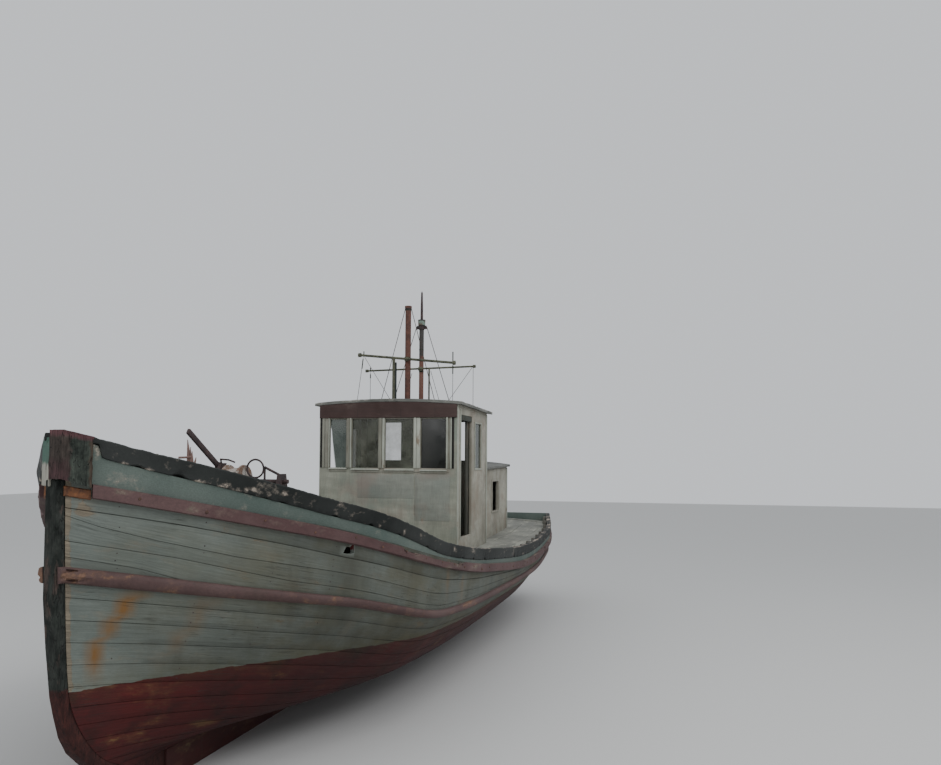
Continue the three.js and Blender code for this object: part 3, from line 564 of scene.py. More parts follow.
WHOLE = {"whole": ("GeometryNodeRealizeInstances", {}, {}), "paint": ("GeometryNodeSetMaterial", {}, {})}
WHOLE_LINKS = ("whole.Geometry > paint.Geometry", "start.Finish > paint.Material",
               "paint.Geometry > end.Geometry")


def wire_tree():
    """Round wire along every edge of the mesh that it is given."""
    return growing_tree(
        "Rigging wire", [],
        {"curve": ("GeometryNodeMeshToCurve", {}, {}), "ring": ("GeometryNodeCurvePrimitiveCircle", {}, {}),
         "sweep": ("GeometryNodeCurveToMesh", {}, {"Fill Caps": True}), **WHOLE},
        ("start.Geometry > curve.Mesh", "start.Radius > ring.Radius", "start.Sides > ring.Resolution",
         "curve.Curve > sweep.Curve", "ring.Curve > sweep.Profile Curve", "sweep.Mesh > whole.Geometry",
         *WHOLE_LINKS))


def stud_tree():
    """A low round stud on every vertex, standing along the vertex's stored direction."""
    return growing_tree(
        "Round studs", [("Height", "Float"), ("Seed", "Int", 3)],
        {"points": ("GeometryNodeMeshToPoints", {}, {}),
         "stud": ("GeometryNodeMeshCone", {"fill_type": "NGON"}, {}),
         "taper": ("ShaderNodeMath", {"operation": "MULTIPLY"}, {1: 0.7}),
         "way": ("GeometryNodeInputNamedAttribute", {"data_type": "FLOAT_VECTOR"}, {"Name": "way"}),
         "align": ("FunctionNodeAlignRotationToVector", {"axis": "Z"}, {}),
         "vary": ("FunctionNodeRandomValue", {"data_type": "FLOAT"}, {2: 0.8, 3: 1.15}),
         "instance": ("GeometryNodeInstanceOnPoints", {}, {}), **WHOLE},
        ("start.Geometry > points.Mesh", "start.Radius > stud.Radius Bottom", "start.Radius > taper.0",
         "taper.0 > stud.Radius Top", "start.Height > stud.Depth", "start.Sides > stud.Vertices",
         "start.Seed > vary.Seed", "points.Points > instance.Points", "stud.Mesh > instance.Instance",
         "way.Attribute > align.Vector", "align.Rotation > instance.Rotation", "vary.1 > instance.Scale",
         "instance.Instances > whole.Geometry", *WHOLE_LINKS))


def grow(piece, tree, **inputs):
    """Runs a node tree on a piece and keeps its result as the piece's mesh."""
    modifier = piece.modifiers.new("Grow", "NODES")
    modifier.node_group = TREES[tree]
    for item in TREES[tree].interface.items_tree:
        if item.in_out == "INPUT" and item.name in inputs:
            modifier[item.identifier] = inputs[item.name]
    return settle(piece)


def wires(name, lines, radius, finish, sides=6):
    """Round wire along lines of two points each."""
    mesh = bpy.data.meshes.new(name)
    edges = [(k, k + 1) for k in range(0, 2 * len(lines), 2)]
    mesh.from_pydata([p for line in lines for p in line], edges, [])
    piece = grow(placed(name, mesh), "wire", Radius=radius, Sides=sides, Finish=M[finish])
    finish_piece(piece, finish)


def pressed(x, extra=0.0):
    """How far the starboard bow lies inside the port one's mirror; extra sinks a guard that lost its face."""
    t = (5.40 - x) / 10.83
    flat = BOW_FLAT * smoothstep(0.02, 0.06, t) * smoothstep(0.17, 0.09, t)
    return flat + extra * smoothstep(0.04, 0.05, t) * smoothstep(0.2, 0.15, t)


def to_starboard(piece, name, extra=0.0):
    """The piece's mirror on the starboard side, pressed in at the bow."""
    made = placed(name, mirrored_mesh(piece.data))
    for vert in made.data.vertices:
        vert.co.y += pressed(vert.co.x, extra)
    return made


def studs(name, spots, radius, height, finish, sides=8, extra=0.0):
    """Studs on both sides of the hull, at spots given as place along it, level and height off the planks."""
    places, ways = [], []
    for t, level, out in spots:
        p, v = side(t, level, out), outward(t, level)
        places += [(p[0], p[1], p[2]), (p[0], -p[1] + pressed(p[0], extra), p[2])]
        ways += [v[0], v[1], 0.0, v[0], -v[1], 0.0]
    mesh = bpy.data.meshes.new(name)
    mesh.from_pydata(places, [], [])
    mesh.attributes.new("way", "FLOAT_VECTOR", "POINT").data.foreach_set("vector", ways)
    piece = grow(placed(name, mesh), "studs", Radius=radius, Height=height, Sides=sides, Finish=M[finish])
    finish_piece(piece, finish)


# Finishes
def new_material(name):
    material = bpy.data.materials.new(name)
    material.use_nodes = True
    material.node_tree.nodes.clear()
    w = Wiring(material.node_tree)
    w.material = material
    w.shader = w.tree.nodes.new("ShaderNodeBsdfPrincipled")
    out = w.tree.nodes.new("ShaderNodeOutputMaterial")
    w.feed(out.inputs["Surface"], w.shader.outputs[0])
    return w


def surfaced(w, color, roughness, height, strength, depth, gloss=0.3):
    """The material, once its colour, roughness and relief are in place."""
    normal = w.add("Bump", "Normal", {"Strength": strength, "Distance": depth, "Height": height})
    for label, value in (("Base Color", color), ("Roughness", roughness), ("Specular IOR Level", gloss),
                         ("Normal", normal)):
        w.feed(w.shader.inputs[label], value)
    return w.material


TURNS = {"X": (0, 0, 0), "Y": (0, 0, math.pi / 2), "Z": (0, math.pi / 2, 0)}


def painted(name, paint, faded, bare, wear=0.4, chip=6.0, grain=60.0, along="X", runs=0.4, here=None,
            depth=0.004):
    """Paint on timber whose grain runs along one of the boat's axes; here marks worn places."""
    w = new_material(name)
    place = w.coordinates()
    old = w.group("paint", Vector=w.mapped(place, rotation=TURNS[along]), Paint=paint, Faded=faded, Bare=bare,
                  Wear=wear, Chip_size=chip, Grain_size=grain, Chips_here=w.attribute(here) if here else 0.0)
    color = old["Color"]
    if runs:
        color = w.coats(color, (w.times(w.dirt(place, runs), 0.55), (0.05, 0.04, 0.03)))
    return surfaced(w, color, old["Roughness"], old["Height"], 0.6, depth)


def bare_wood(name, light, dark, along="X", grain=45.0):
    """Weathered wood without paint."""
    bare = (light[0] * 1.25, light[1] * 1.25, light[2] * 1.2)
    return painted(name, dark, light, bare, 0.75, 4.0, grain, along, 0.35, depth=0.005)


def rusted(name, light, dark, paint=None, size=22.0, metallic=0.0):
    """Rusty iron, or old paint with rust coming through."""
    w = new_material(name)
    rust = w.group("rust", Vector=w.coordinates(), Light=light, Dark=dark, Size=size)
    color = w.coats(paint, (rust["Mask"], rust["Color"])) if paint else rust["Color"]
    w.shader.inputs["Metallic"].default_value = metallic
    return surfaced(w, color, rust["Roughness"], rust["Height"], 0.5, 0.002, 0.5)


def planking_material(name, above, above_faded, below, bare):
    """Painted planks with caulked seams, runs of rust, and red paint below the waterline, with painted shade
    that darkens and browns them towards the stern and below the lower guard.
    """
    w = new_material(name)
    # The hull's shade towards the stern and below the lower guard is painted in, led by a per-vertex
    # attribute.
    place, uv, painted_shade = w.coordinates(), w.coordinates("UV"), w.attribute("painted_shade")
    here = w.attribute("bare")
    top = w.group("paint", Vector=uv, Paint=above, Faded=above_faded, Bare=bare, Wear=0.42, Chip_size=9.0,
                  Grain_size=70.0, Chips_here=here)
    low = w.group("paint", Vector=uv, Paint=below, Faded=(0.06, 0.010, 0.010), Bare=(0.17, 0.085, 0.035),
                  Wear=0.4, Chip_size=7.0, Grain_size=55.0, Chips_here=here)
    shade = w.cloud(w.mapped(place, location=(4, 1, 8)), (3.2, 6, 0.65), (0.5, 0.66), (0.0, 0.75))
    bottom = w.coats(low["Color"], (shade, (0.016, 0.008, 0.006)))
    # Painted shade: an olive-brown tint over the upper planks, heavier towards the stern.
    olive = w.times(w.cloud(w.mapped(place, (1, 1, 1.6)), (1.9, 5, 0.6), (0.42, 0.66)), painted_shade)
    upper = w.coats(top["Color"], (w.cloud(place, (2.2, 5), (0.48, 0.75), (0.0, 0.3)), (0.13, 0.12, 0.09)),
                    (w.times(olive, 0.8), (0.125, 0.112, 0.062)))
    over = w.ramp(w.plus(w.attribute("above_paint"), w.wobble(place, 9.0, 4, 0.035)), -0.002, 0.002)
    plank = w.math("FLOOR", w.times(w.axis(uv, "Y"), 10.0))
    tone = w.add("TexWhiteNoise", "Value", {"W": plank}, noise_dimensions="1D")
    color = w.shade(w.coats(bottom, (over, upper)), w.ramp(tone, 0, 1, 0.9, 1.08))
    color = w.shade(color, w.cloud(w.mapped(uv, (0.035, 1.0, 1.0)), (150.0, 3, 0.6), (0.3, 0.7), (0.86, 1.1)))
    soiled = w.times(w.dirt(place, 0.5, 5.0), w.ramp(over, 0, 1, 0.2, 0.45))
    # Painted shade: a mask and a near-black colour that darken the planks towards the stern and below the
    # lower guard.
    dark = w.times(painted_shade, w.cloud(w.mapped(place, (1, 1, 0.45)), (3.0, 6, 0.65), (0.3, 0.7), (0.5, 1.0)))
    film = w.coats((0.016, 0.005, 0.005), (over, (0.036, 0.034, 0.022)))
    rusty = w.cloud(w.mapped(place, (1, 1, 0.25)), (14.0, 6, 0.6), (0.3, 0.66), (0.45, 1.0))
    mossy = w.cloud(place, (8.0, 5), (0.35, 0.65), (0.0, 0.4))
    crack = w.times(w.cracks(w.mapped(uv, (0.03, 1.0, 1.0)), (55.0, 2, 0.45), 0.014),
                    w.cloud(place, (2.4, 3), (0.48, 0.62)))
    seam = w.times(w.attribute("seam"), w.cloud(place, (2.6, 4), (0.35, 0.62), (0.3, 1.0)))
    color = w.coats(color, (soiled, (0.05, 0.042, 0.027)),
                    # painted shade, darker towards the stern
                    (w.times(dark, w.ramp(over, 0, 1, 0.75, 0.9)), film),
                    (w.times(w.attribute("rust"), rusty), (0.165, 0.085, 0.028)),
                    (w.times(w.attribute("moss"), mossy), (0.075, 0.07, 0.022)),
                    (w.times(crack, 0.55), (0.03, 0.03, 0.024)), (seam, (0.02, 0.019, 0.015)))
    return surfaced(w, color, top["Roughness"], w.minus(top["Height"], w.times(crack, 0.8)), 0.7, 0.005)


def glass_material(name, tint, dust_color, clear, veil=None):
    """Old window glass under dust; clear is the share of the view that passes the clean parts.

    veil is the place across and the slant of the edge of the part that dirt has closed."""
    w = new_material(name)
    place = w.coordinates()
    film = w.times(w.cloud(place, (5.0, 6, 0.6), (0.35, 0.7)), 0.7)
    dust = w.math("ADD", film, w.times(w.dirt(place, 0.6, 12.0), 0.3), clamp=True)
    alpha = w.ramp(dust, 0, 1, 1 - clear, 1 - clear * 0.6)
    if veil:
        across = w.plus(w.axis(place, "Y"), w.times(w.axis(place, "Z"), veil[1]))
        alpha = w.math("MAXIMUM", alpha, w.ramp(across, veil[0] - 0.004, veil[0] + 0.004, 0.0, 0.9))
    for label, value in (("Base Color", w.coats(tint, (dust, dust_color))),
                         ("Roughness", w.ramp(dust, 0, 1, 0.06, 0.35)), ("Alpha", alpha)):
        w.feed(w.shader.inputs[label], value)
    return w.material


def two_paints(name, first, second, axis, at, blend, along, wear, bare, chip):
    """Old timber painted one colour up to a place along an axis and another beyond it."""
    w = new_material(name)
    place = w.coordinates()
    share = w.ramp(w.plus(w.axis(place, axis), w.wobble(place, 16.0, 5, blend * 6)), at - blend, at + blend)
    paint, faded = (w.coats(a, (share, b)) for a, b in zip(first, second))
    old = w.group("paint", Vector=w.mapped(place, rotation=TURNS[along]), Paint=paint, Faded=faded, Bare=bare,
                  Wear=wear, Chip_size=chip, Grain_size=45.0)
    color = w.coats(old["Color"], (w.times(w.dirt(place, 0.5), 0.5), (0.03, 0.024, 0.018)))
    return surfaced(w, color, old["Roughness"], old["Height"], 0.7, 0.005)


def upright_timber(w, place, color, blotch):
    """Finish a material as old timber that stands on end, with open grain and cracks."""
    grain = w.noise(w.mapped(place, (1, 1, 0.12)), 85.0, 5, 0.65)
    crack = w.cracks(w.mapped(place, (1, 1, 0.16)), (22.0, 2), 0.012)
    color = w.coats(w.shade(color, w.ramp(grain, 0.3, 0.7, 0.5, 1.4)),
                    (w.times(crack, 0.8), (0.006, 0.006, 0.005)))
    return surfaced(w, color, 0.8, w.minus(w.plus(grain, w.times(blotch, 0.4)), crack), 0.8, 0.006)


def chock_material():
    """Weathered chock: brown end grain ahead, a mottled green-black panel aft, maroon along the top."""
    w = new_material("Weathered chock")
    place = w.coordinates()
    x, z = w.axis(place, "X"), w.axis(place, "Z")
    blotch = w.cloud(place, (11.0, 6, 0.68), (0.36, 0.66))
    panel = w.coats((0.010, 0.014, 0.011), (blotch, (0.052, 0.062, 0.05)))
    low = w.ramp(w.plus(z, w.times(blotch, 0.08)), 2.36, 2.5, 0.7, 0.0)
    front = w.coats((0.028, 0.022, 0.018), (w.cloud(place, (7.0, 5), (0.35, 0.65)), (0.075, 0.058, 0.05)),
                    (low, (0.062, 0.026, 0.03)))
    wobble = w.wobble(place, 20.0, 4, 0.05)
    aft = w.ramp(w.plus(x, wobble), 5.345, 5.36, 1.0, 0.0)
    slope = w.times(w.minus(x, 5.32), -0.26)
    head = w.ramp(w.plus(w.plus(z, slope), wobble), 2.535, 2.56)
    color = w.coats(panel, (w.ramp(w.plus(x, wobble), 5.435, 5.45), front),
                    (w.times(aft, 0.7), (0.06, 0.036, 0.024)), (w.times(head, 0.85), (0.105, 0.045, 0.05)))
    return upright_timber(w, place, color, blotch)


def stem_material():
    """Near-black stem with worn brown patches, red below the waterline."""
    w = new_material("Stem paint")
    place = w.coordinates()
    blotch = w.cloud(w.mapped(place, (1, 1, 0.5)), (16.0, 6, 0.68), (0.38, 0.64))
    worn = w.cloud(w.mapped(place, (1, 1, 0.3), (2, 5, 1)), (12.0, 6, 0.7), (0.56, 0.64), (0.0, 0.8))
    black = w.coats((0.005, 0.008, 0.006), (blotch, (0.032, 0.036, 0.031)), (worn, (0.075, 0.05, 0.042)))
    red = w.coats((0.028, 0.009, 0.008), (blotch, (0.055, 0.016, 0.013)))
    over = w.ramp(w.plus(w.axis(place, "Z"), w.wobble(place, 16.0, 5, 0.07)), 0.95, 0.97)
    return upright_timber(w, place, w.coats(red, (over, black)), blotch)


def plywood_material(name, paint, faded, bare, stain_a, stain_b):
    """Painted plywood with broad stains, lifted grain and rust runs."""
    w = new_material(name)
    place = w.coordinates()
    old = w.group("paint", Vector=w.mapped(place, rotation=TURNS["Z"]), Paint=paint, Faded=faded, Bare=bare,
                  Wear=0.4, Chip_size=5.0, Grain_size=110.0)
    brushed = w.cloud(w.mapped(place, (1, 0.3, 1.4)), (7.0, 6, 0.62), (0.32, 0.68), (0.82, 1.14))
    color = w.coats(
        w.shade(old["Color"], brushed),
        (w.cloud(place, (1.7, 4, 0.55), (0.46, 0.68), (0.0, 0.6)), stain_a),
        (w.cloud(w.mapped(place, location=(7, 3, 5)), (2.3, 5, 0.6), (0.5, 0.72), (0.0, 0.55)), stain_b),
        (w.times(w.dirt(place, 0.5, 8.0), 0.4), (0.09, 0.065, 0.045)),
        (w.times(w.dirt(w.mapped(place, location=(3, 9, 1)), 0.28, 11.0), 0.7), (0.13, 0.06, 0.03)),
        (w.cloud(place, (85.0, 3, 0.6), (0.66, 0.72), (0.0, 0.6)), (0.05, 0.045, 0.035)))
    return surfaced(w, color, old["Roughness"], old["Height"], 0.5, 0.003)


BLUE_GREEN = ((0.078, 0.106, 0.093), (0.112, 0.139, 0.122))
PAINTS = {
    # name, paint, faded paint, bare wood, wear, chip size, grain size, grain's axis, runs, worn places
    "blue_strip": ("Blue-green bulwark paint", *BLUE_GREEN, (0.28, 0.26, 0.215), 0.3, 9.0, 110.0, "X", 0.5,
                   "bare"),
    "black_strake": ("Peeling black paint", (0.009, 0.011, 0.010), (0.027, 0.030, 0.028), (0.34, 0.29, 0.24),
                     0.3, 13.0, 60.0, "X", 0.0, "bare"),
    "maroon": ("Faded maroon paint", (0.072, 0.036, 0.036), (0.108, 0.063, 0.061), (0.17, 0.13, 0.105),
               0.5, 8.0, 60.0, "X", 0.4, "bare"),
    "low_maroon": ("Dull maroon paint", (0.068, 0.038, 0.036), (0.1, 0.062, 0.058), (0.16, 0.09, 0.06),
                   0.5, 8.0, 60.0, "X", 0.45, "bare"),
    "keel_timber": ("Keel paint", (0.055, 0.013, 0.012), (0.03, 0.011, 0.01), (0.12, 0.075, 0.04), 0.6, 7.0),
    "posts": ("Pale post paint", (0.3, 0.315, 0.265), (0.4, 0.42, 0.36), (0.25, 0.2, 0.15),
              0.5, 12.0, 70.0, "Z", 0.55),
    "frames": ("Grimy frame paint", (0.16, 0.155, 0.125), (0.24, 0.24, 0.2), (0.14, 0.1, 0.07),
               0.5, 10.0, 70.0, "Z", 0.6),
    "fascia": ("Dark red fascia", (0.042, 0.023, 0.02), (0.068, 0.043, 0.039), (0.13, 0.1, 0.085),
               0.38, 6.0, 60.0, "Y"),
    "roof": ("Painted roof canvas", (0.085, 0.088, 0.08), (0.17, 0.172, 0.158), (0.3, 0.29, 0.26),
             0.4, 9.0, 60.0, "Y", 0.2, "bare"),
    "door_paint": ("Dark door paint", (0.052, 0.053, 0.043), (0.088, 0.09, 0.074), (0.19, 0.15, 0.11),
                   0.42, 6.0, 60.0, "Z", 0.6),
    "inside": ("Inside paint", (0.03, 0.034, 0.026), (0.045, 0.05, 0.04), (0.12, 0.09, 0.06),
               0.3, 5.0, 60.0, "Z"),
}
WOODS = {
    # name, light wood, dark wood, grain's axis, grain size
    "deck_planks": ("Weathered deck", (0.3, 0.3, 0.262), (0.17, 0.172, 0.152)),
    "deck_planks_across": ("Weathered boards across", (0.3, 0.295, 0.255), (0.17, 0.168, 0.146), "Y"),
    "splintered": ("Splintered post", (0.26, 0.17, 0.145), (0.12, 0.07, 0.06), "Z", 70.0),
    # The near-black finish below is painted shadow behind the scupper, under the gaps of the deck and at the
    # ends of the front; on the fascia it marks dark joints.
    "dark_gap": ("Dark hollow", (0.016, 0.015, 0.013), (0.008, 0.008, 0.007)),
    "frames_wood": ("Bulwark frames", (0.15, 0.145, 0.125), (0.075, 0.072, 0.062), "Z"),
}
PLYWOODS = {
    # name, paint, faded paint, bare wood, two stains
    "side_plywood": ("Pale side plywood", (0.31, 0.3, 0.25), (0.38, 0.365, 0.3), (0.3, 0.24, 0.18),
                     (0.2, 0.185, 0.145), (0.2, 0.13, 0.09)),
    "patch": ("Blue-grey plywood patch", (0.2, 0.212, 0.182), (0.245, 0.255, 0.22), (0.25, 0.21, 0.165),
              (0.165, 0.19, 0.168), (0.23, 0.175, 0.145)),
}
PANES = {
    # name, glass, dust, share of the view that passes, place and slant of the closed part's edge
    "pane": ("Dirty window glass", (0.03, 0.04, 0.032), (0.11, 0.13, 0.105), 0.45),
    "pane_dark": ("Blackened window glass", (0.007, 0.008, 0.006), (0.019, 0.020, 0.015), 0.2),
    "pane_clear": ("Clearer window glass", (0.06, 0.066, 0.045), (0.16, 0.17, 0.125), 0.8),
    "pane_torn": ("Half-closed window glass", (0.035, 0.05, 0.04), (0.085, 0.11, 0.088), 0.9, (-0.44, 0.133)),
}
IRONS = {
    # name, light rust, dark rust, paint, size of the scales, metallic
    "yard": ("Lichened yard iron", (0.13, 0.13, 0.085), (0.02, 0.024, 0.015), None, 11.0),
    "pole": ("Blue-black pole paint", (0.028, 0.038, 0.038), (0.009, 0.015, 0.015), None, 9.0),
    "rust_iron": ("Rusty iron", (0.13, 0.062, 0.038), (0.035, 0.02, 0.016)),
    "dark_iron": ("Dark gear iron", (0.06, 0.036, 0.034), (0.02, 0.015, 0.017), None, 16.0),
    "mast_rust": ("Rust-brown mast paint", (0.135, 0.055, 0.038), (0.05, 0.024, 0.019), None, 13.0),
    "green_iron": ("Dark green iron", (0.04, 0.042, 0.022), (0.012, 0.018, 0.013), None, 14.0),
    "mast_cap": ("Pale green cap", (0.12, 0.09, 0.06), (0.08, 0.06, 0.045), (0.16, 0.225, 0.19), 10.0),
    "wire": ("Old rigging wire", (0.07, 0.05, 0.04), (0.022, 0.021, 0.02), None, 40.0),
    "pale_iron": ("Pale flaking drum", (0.17, 0.10, 0.065), (0.1, 0.066, 0.05), (0.36, 0.33, 0.3), 12.0),
    "bronze": ("Dull bronze", (0.24, 0.16, 0.07), (0.08, 0.1, 0.065), None, 14.0, 0.7),
    "engine": ("Oily engine paint", (0.14, 0.1, 0.07), (0.07, 0.05, 0.04), (0.16, 0.2, 0.18), 12.0),
    "rust_fitting": ("Orange rust", (0.23, 0.09, 0.032), (0.062, 0.028, 0.018), None, 20.0),
}


def all_finishes():
    hull, house = bpy.context.scene.old_boat_hull, bpy.context.scene.old_boat_house
    for key, tree in (("paint", paint_tree), ("runs", runs_tree), ("rust", rust_tree), ("wire", wire_tree),
                      ("studs", stud_tree)):
        TREES[key] = tree()
    for make, table in ((painted, PAINTS), (bare_wood, WOODS), (plywood_material, PLYWOODS),
                        (glass_material, PANES), (rusted, IRONS)):
        for key, values in table.items():
            M[key] = make(*values)
    M["stem_timber"] = stem_material()
    M["block_port"] = chock_material()
    M["planking"] = planking_material("Grey-green planking", hull.side_paint, hull.side_faded,
                                      hull.bottom_paint, (0.2, 0.17, 0.125))
    M["plywood"] = plywood_material("Worn grey plywood", house.wall_paint, house.wall_faded,
                                    (0.27, 0.225, 0.18), (0.15, 0.19, 0.165), (0.24, 0.17, 0.14))
    M["transom"] = two_paints("Stern paint", ((0.05, 0.012, 0.01), (0.075, 0.02, 0.017)), BLUE_GREEN,
                              "Z", hull_point(1, PAINT_LINE)[2], 0.006, "Y", 0.45, (0.24, 0.2, 0.16), 8.0)
    M["block_starboard"] = two_paints("Green chock", ((0.26, 0.25, 0.21), (0.36, 0.35, 0.3)),
                                      ((0.03, 0.085, 0.06), (0.055, 0.12, 0.09)),
                                      "Z", 2.41, 0.01, "Z", 0.5, (0.07, 0.05, 0.04), 7.0)
    M["mast_two"] = two_paints("Mast paint, rust-brown below and grey above",
                               ((0.115, 0.05, 0.036), (0.17, 0.085, 0.065)),
                               ((0.038, 0.035, 0.033), (0.07, 0.066, 0.06)),
                               "Z", 4.0, 0.05, "Z", 0.4, (0.11, 0.045, 0.025), 14.0)


# Hull planking
RUST_RUNS = (
    # points down the run as (x, height), half width, strength
    (((5.059, 1.53), (5.135, 1.375), (5.197, 1.254), (5.222, 1.115), (5.219, 0.93)), 0.050, 1.3),
    (((4.699, 1.46), (4.721, 1.318), (4.791, 1.153), (4.856, 0.99)), 0.065, 0.4),
    (((3.60, 1.28), (3.62, 0.98)), 0.050, 0.2),
    (((2.35, 1.52), (2.35, 1.10)), 0.030, 0.35),
    (((1.90, 1.30), (1.90, 1.00)), 0.050, 0.3),
    (((5.300, 2.17), (5.303, 2.07)), 0.016, 1.0),
)
BARE_SPOTS = (
    # x, height, half length, half height, strength
    (4.9, 0.54, 0.30, 0.07, 0.9), (4.45, 0.47, 0.5, 0.05, 0.9), (4.6, 0.80, 0.25, 0.025, 0.55),
    (3.3, 0.72, 0.4, 0.02, 0.5), (2.0, 1.22, 0.5, 0.05, 0.6), (5.34, 2.12, 0.025, 0.08, 1.3),
    (3.87, 1.77, 0.09, 0.05, 0.5), (4.9, 1.93, 0.4, 0.015, 0.5), (2.6, 0.95, 0.5, 0.05, 0.5),
)
SCUPPER = (3.856, 1.751)
SCUPPER_EDGE = ((-0.05, -0.036), (-0.012, -0.044), (0.03, -0.034), (0.052, -0.03), (0.034, 0.02),
                (-0.002, 0.012), (-0.03, 0.04))
UPPER_SEAMS = (
    # seams above the lower guard: places along the hull, levels there, width factor, darkness
    ((0.0, 0.0315, 0.0535, 0.09, 1.0), (3.17, 3.143, 3.063, 3.014, 3.014), 1.0, 0.6),
    ((0.0, 0.048, 0.108, 0.145, 1.0), (3.32, 3.296, 3.2, 3.19, 3.18), 1.0, 0.75),
    ((0.0, 0.0143, 0.037, 0.076, 0.143, 1.0), (3.57, 3.50, 3.444, 3.393, 3.376, 3.36), 1.0, 0.7),
    ((0.0, 0.05, 0.09, 0.14, 0.2, 1.0), (3.65, 3.647, 3.624, 3.57, 3.58, 3.6), 1.4, 1.0),
)
STARBOARD_WEAR = 0.25


def girth_levels(t, count, top):
    """Levels that cut the side below a level into planks of equal width."""
    samples = [hull_point(t, top * k / 36) for k in range(37)]
    run = np.concatenate([[0], np.cumsum([np.linalg.norm(b - a) for a, b in zip(samples, samples[1:])])])
    return list(np.interp(np.linspace(0, run[-1], count + 1), run, np.linspace(0, top, 37)))


def plank_edges(t):
    """Levels of the planks' edges at one place, from the keel to the sheer, and how each seam looks."""
    below = girth_levels(t, bpy.context.scene.old_boat_hull.planks_below, LOWER_GUARD)
    looks = [(1.0, 0.45 + 0.5 * (0.5 + 0.5 * math.sin(k * 5.3))) for k in range(len(below))]
    above = [float(np.interp(t, places, levels)) for places, levels, width, dark in UPPER_SEAMS]
    looks += [(width, dark) for places, levels, width, dark in UPPER_SEAMS]
    return below + above + [SHEER], looks + [(1.0, 1.0)]


def rust_at(x, z):
    most = 0.0
    for points, half, strength in RUST_RUNS:
        top, foot = points[0][1], points[-1][1]
        fall = (top - z) / (top - foot)
        if -0.1 < fall < 1.1:
            middle = np.interp(-z, [-p[1] for p in points], [p[0] for p in points])
            off = abs(x - middle) / (half * (1.15 - 0.5 * fall))
            ends = min(1.0, (fall + 0.1) / 0.14) * min(1.0, (1.1 - fall) / 0.5)
            most = max(most, strength * max(0.0, 1 - off**2) * ends)
    return most


def hull_planks():
    hull = bpy.context.scene.old_boat_hull
    columns = [0.0, 0.0013, 0.0028] + spread(0.0068, 1.0, 148)
    verts, uvs = [], []
    marks = {name: [] for name in ("seam", "above_paint", "rust", "bare", "moss", "painted_shade")}
    for t in columns:
        edges, looks = plank_edges(t)
        points = []
        for k, (a, b) in enumerate(zip(edges, edges[1:])):
            width = np.linalg.norm(hull_point(t, b) - hull_point(t, a))
            low, high = (min(0.2, hull.seam_width / 2 * looks[j][0] / width) for j in (k, k + 1))
            points += [(a + (b - a) * share, 0.0, k + share, 0.0) for share in (low, 0.35, 0.65, 1 - high)]
            if k < len(edges) - 2:
                points.append((b, hull.seam_depth * looks[k + 1][0], k + 0.999, looks[k + 1][1]))
        z_paint, z_guard = hull_point(t, PAINT_LINE)[2], hull_point(t, LOWER_GUARD)[2]
        for level, depth, v, dark in points:
            x, y, z = side(t, level, -depth)
            verts.append((x, y, z))
            uvs.append((6.0 - x, v * 0.1))
            # How far below the lower guard the point lies; the painted shade is heavier there.
            under = 1 - smoothstep(-0.55, 0.25, z - z_guard)
            for name, value in (
                ("seam", dark), ("above_paint", z - z_paint), ("rust", rust_at(x, z)),
                ("bare", spot_at(x, z, BARE_SPOTS) + (2.2 if t < 0.002 and z > z_paint else 0.0)),
                # Painted shade: darker towards the stern, more so below the lower guard.
                ("painted_shade", 0.95 * smoothstep(5.6, 3.7, x) * (0.82 + 0.18 * under)),
                ("moss", max(0.0, 1 - abs(z - z_paint + 0.02) / 0.12) * (1 if z > z_paint else 0.3)),
            ):
                marks[name].append(value)
    faces = grid_faces(len(columns), len(verts) // len(columns))
    port = new_piece("hull_planks_port", verts, faces, uvs, marks, smooth=True)
    if port.data.polygons[len(faces) // 2].normal.y < 0:
        port.data.flip_normals()
    starboard = to_starboard(port, "hull_planks_starboard")
    for name in ("rust", "bare"):
        values = [STARBOARD_WEAR * v for v in marks[name]]
        starboard.data.attributes[name].data.foreach_set("value", values)
    for piece in (port, starboard):
        shade_by_angle(modified(piece, "SOLIDIFY", thickness=0.03, offset=-1), 50)
    x, z = SCUPPER
    rings = [[(x + a, y, z + b) for a, b in SCUPPER_EDGE] for y in (1.15, 1.65)]
    hole = face_outward(loft_piece("hole", rings))
    modified(port, "BOOLEAN", operation="DIFFERENCE", solver="EXACT", object=hole)
    bpy.data.objects.remove(hole)
    finish_piece(port, "planking", replaces=("hull",))
    finish_piece(starboard, "planking")
    # Painted shadow: a near-black box inside the scupper stands for the shade in the hull behind it.
    hollow = box_piece("scupper_shadow", (x - 0.12, 1.20, z - 0.1), (x + 0.12, 1.23, z + 0.1))
    finish_piece(hollow, "dark_gap")


# Bulwarks, rails and guards
STRAKE_SPOTS = (
    (5.178, 2.408, 0.05, 0.010, 1.5), (5.063, 2.368, 0.10, 0.018, 1.6), (4.830, 2.285, 0.075, 0.022, 1.7),
    (4.725, 2.262, 0.045, 0.024, 1.7), (4.610, 2.224, 0.15, 0.026, 1.8), (4.412, 2.195, 0.08, 0.012, 1.1),
    (3.884, 1.985, 0.06, 0.014, 0.9), (3.583, 1.911, 0.035, 0.022, 1.7), (3.404, 1.874, 0.04, 0.010, 1.3),
    (3.252, 1.846, 0.04, 0.014, 1.6), (3.02, 1.79, 0.04, 0.02, 1.0), (2.60, 1.68, 0.05, 0.016, 1.3),
    (2.24, 1.60, 0.10, 0.025, 1.0), (1.9, 1.54, 0.1, 0.025, 0.8), (0.3, 1.36, 0.3, 0.03, 0.7),
    (-1.4, 1.26, 0.4, 0.04, 0.7), (-3.2, 1.28, 0.4, 0.04, 0.7),
)
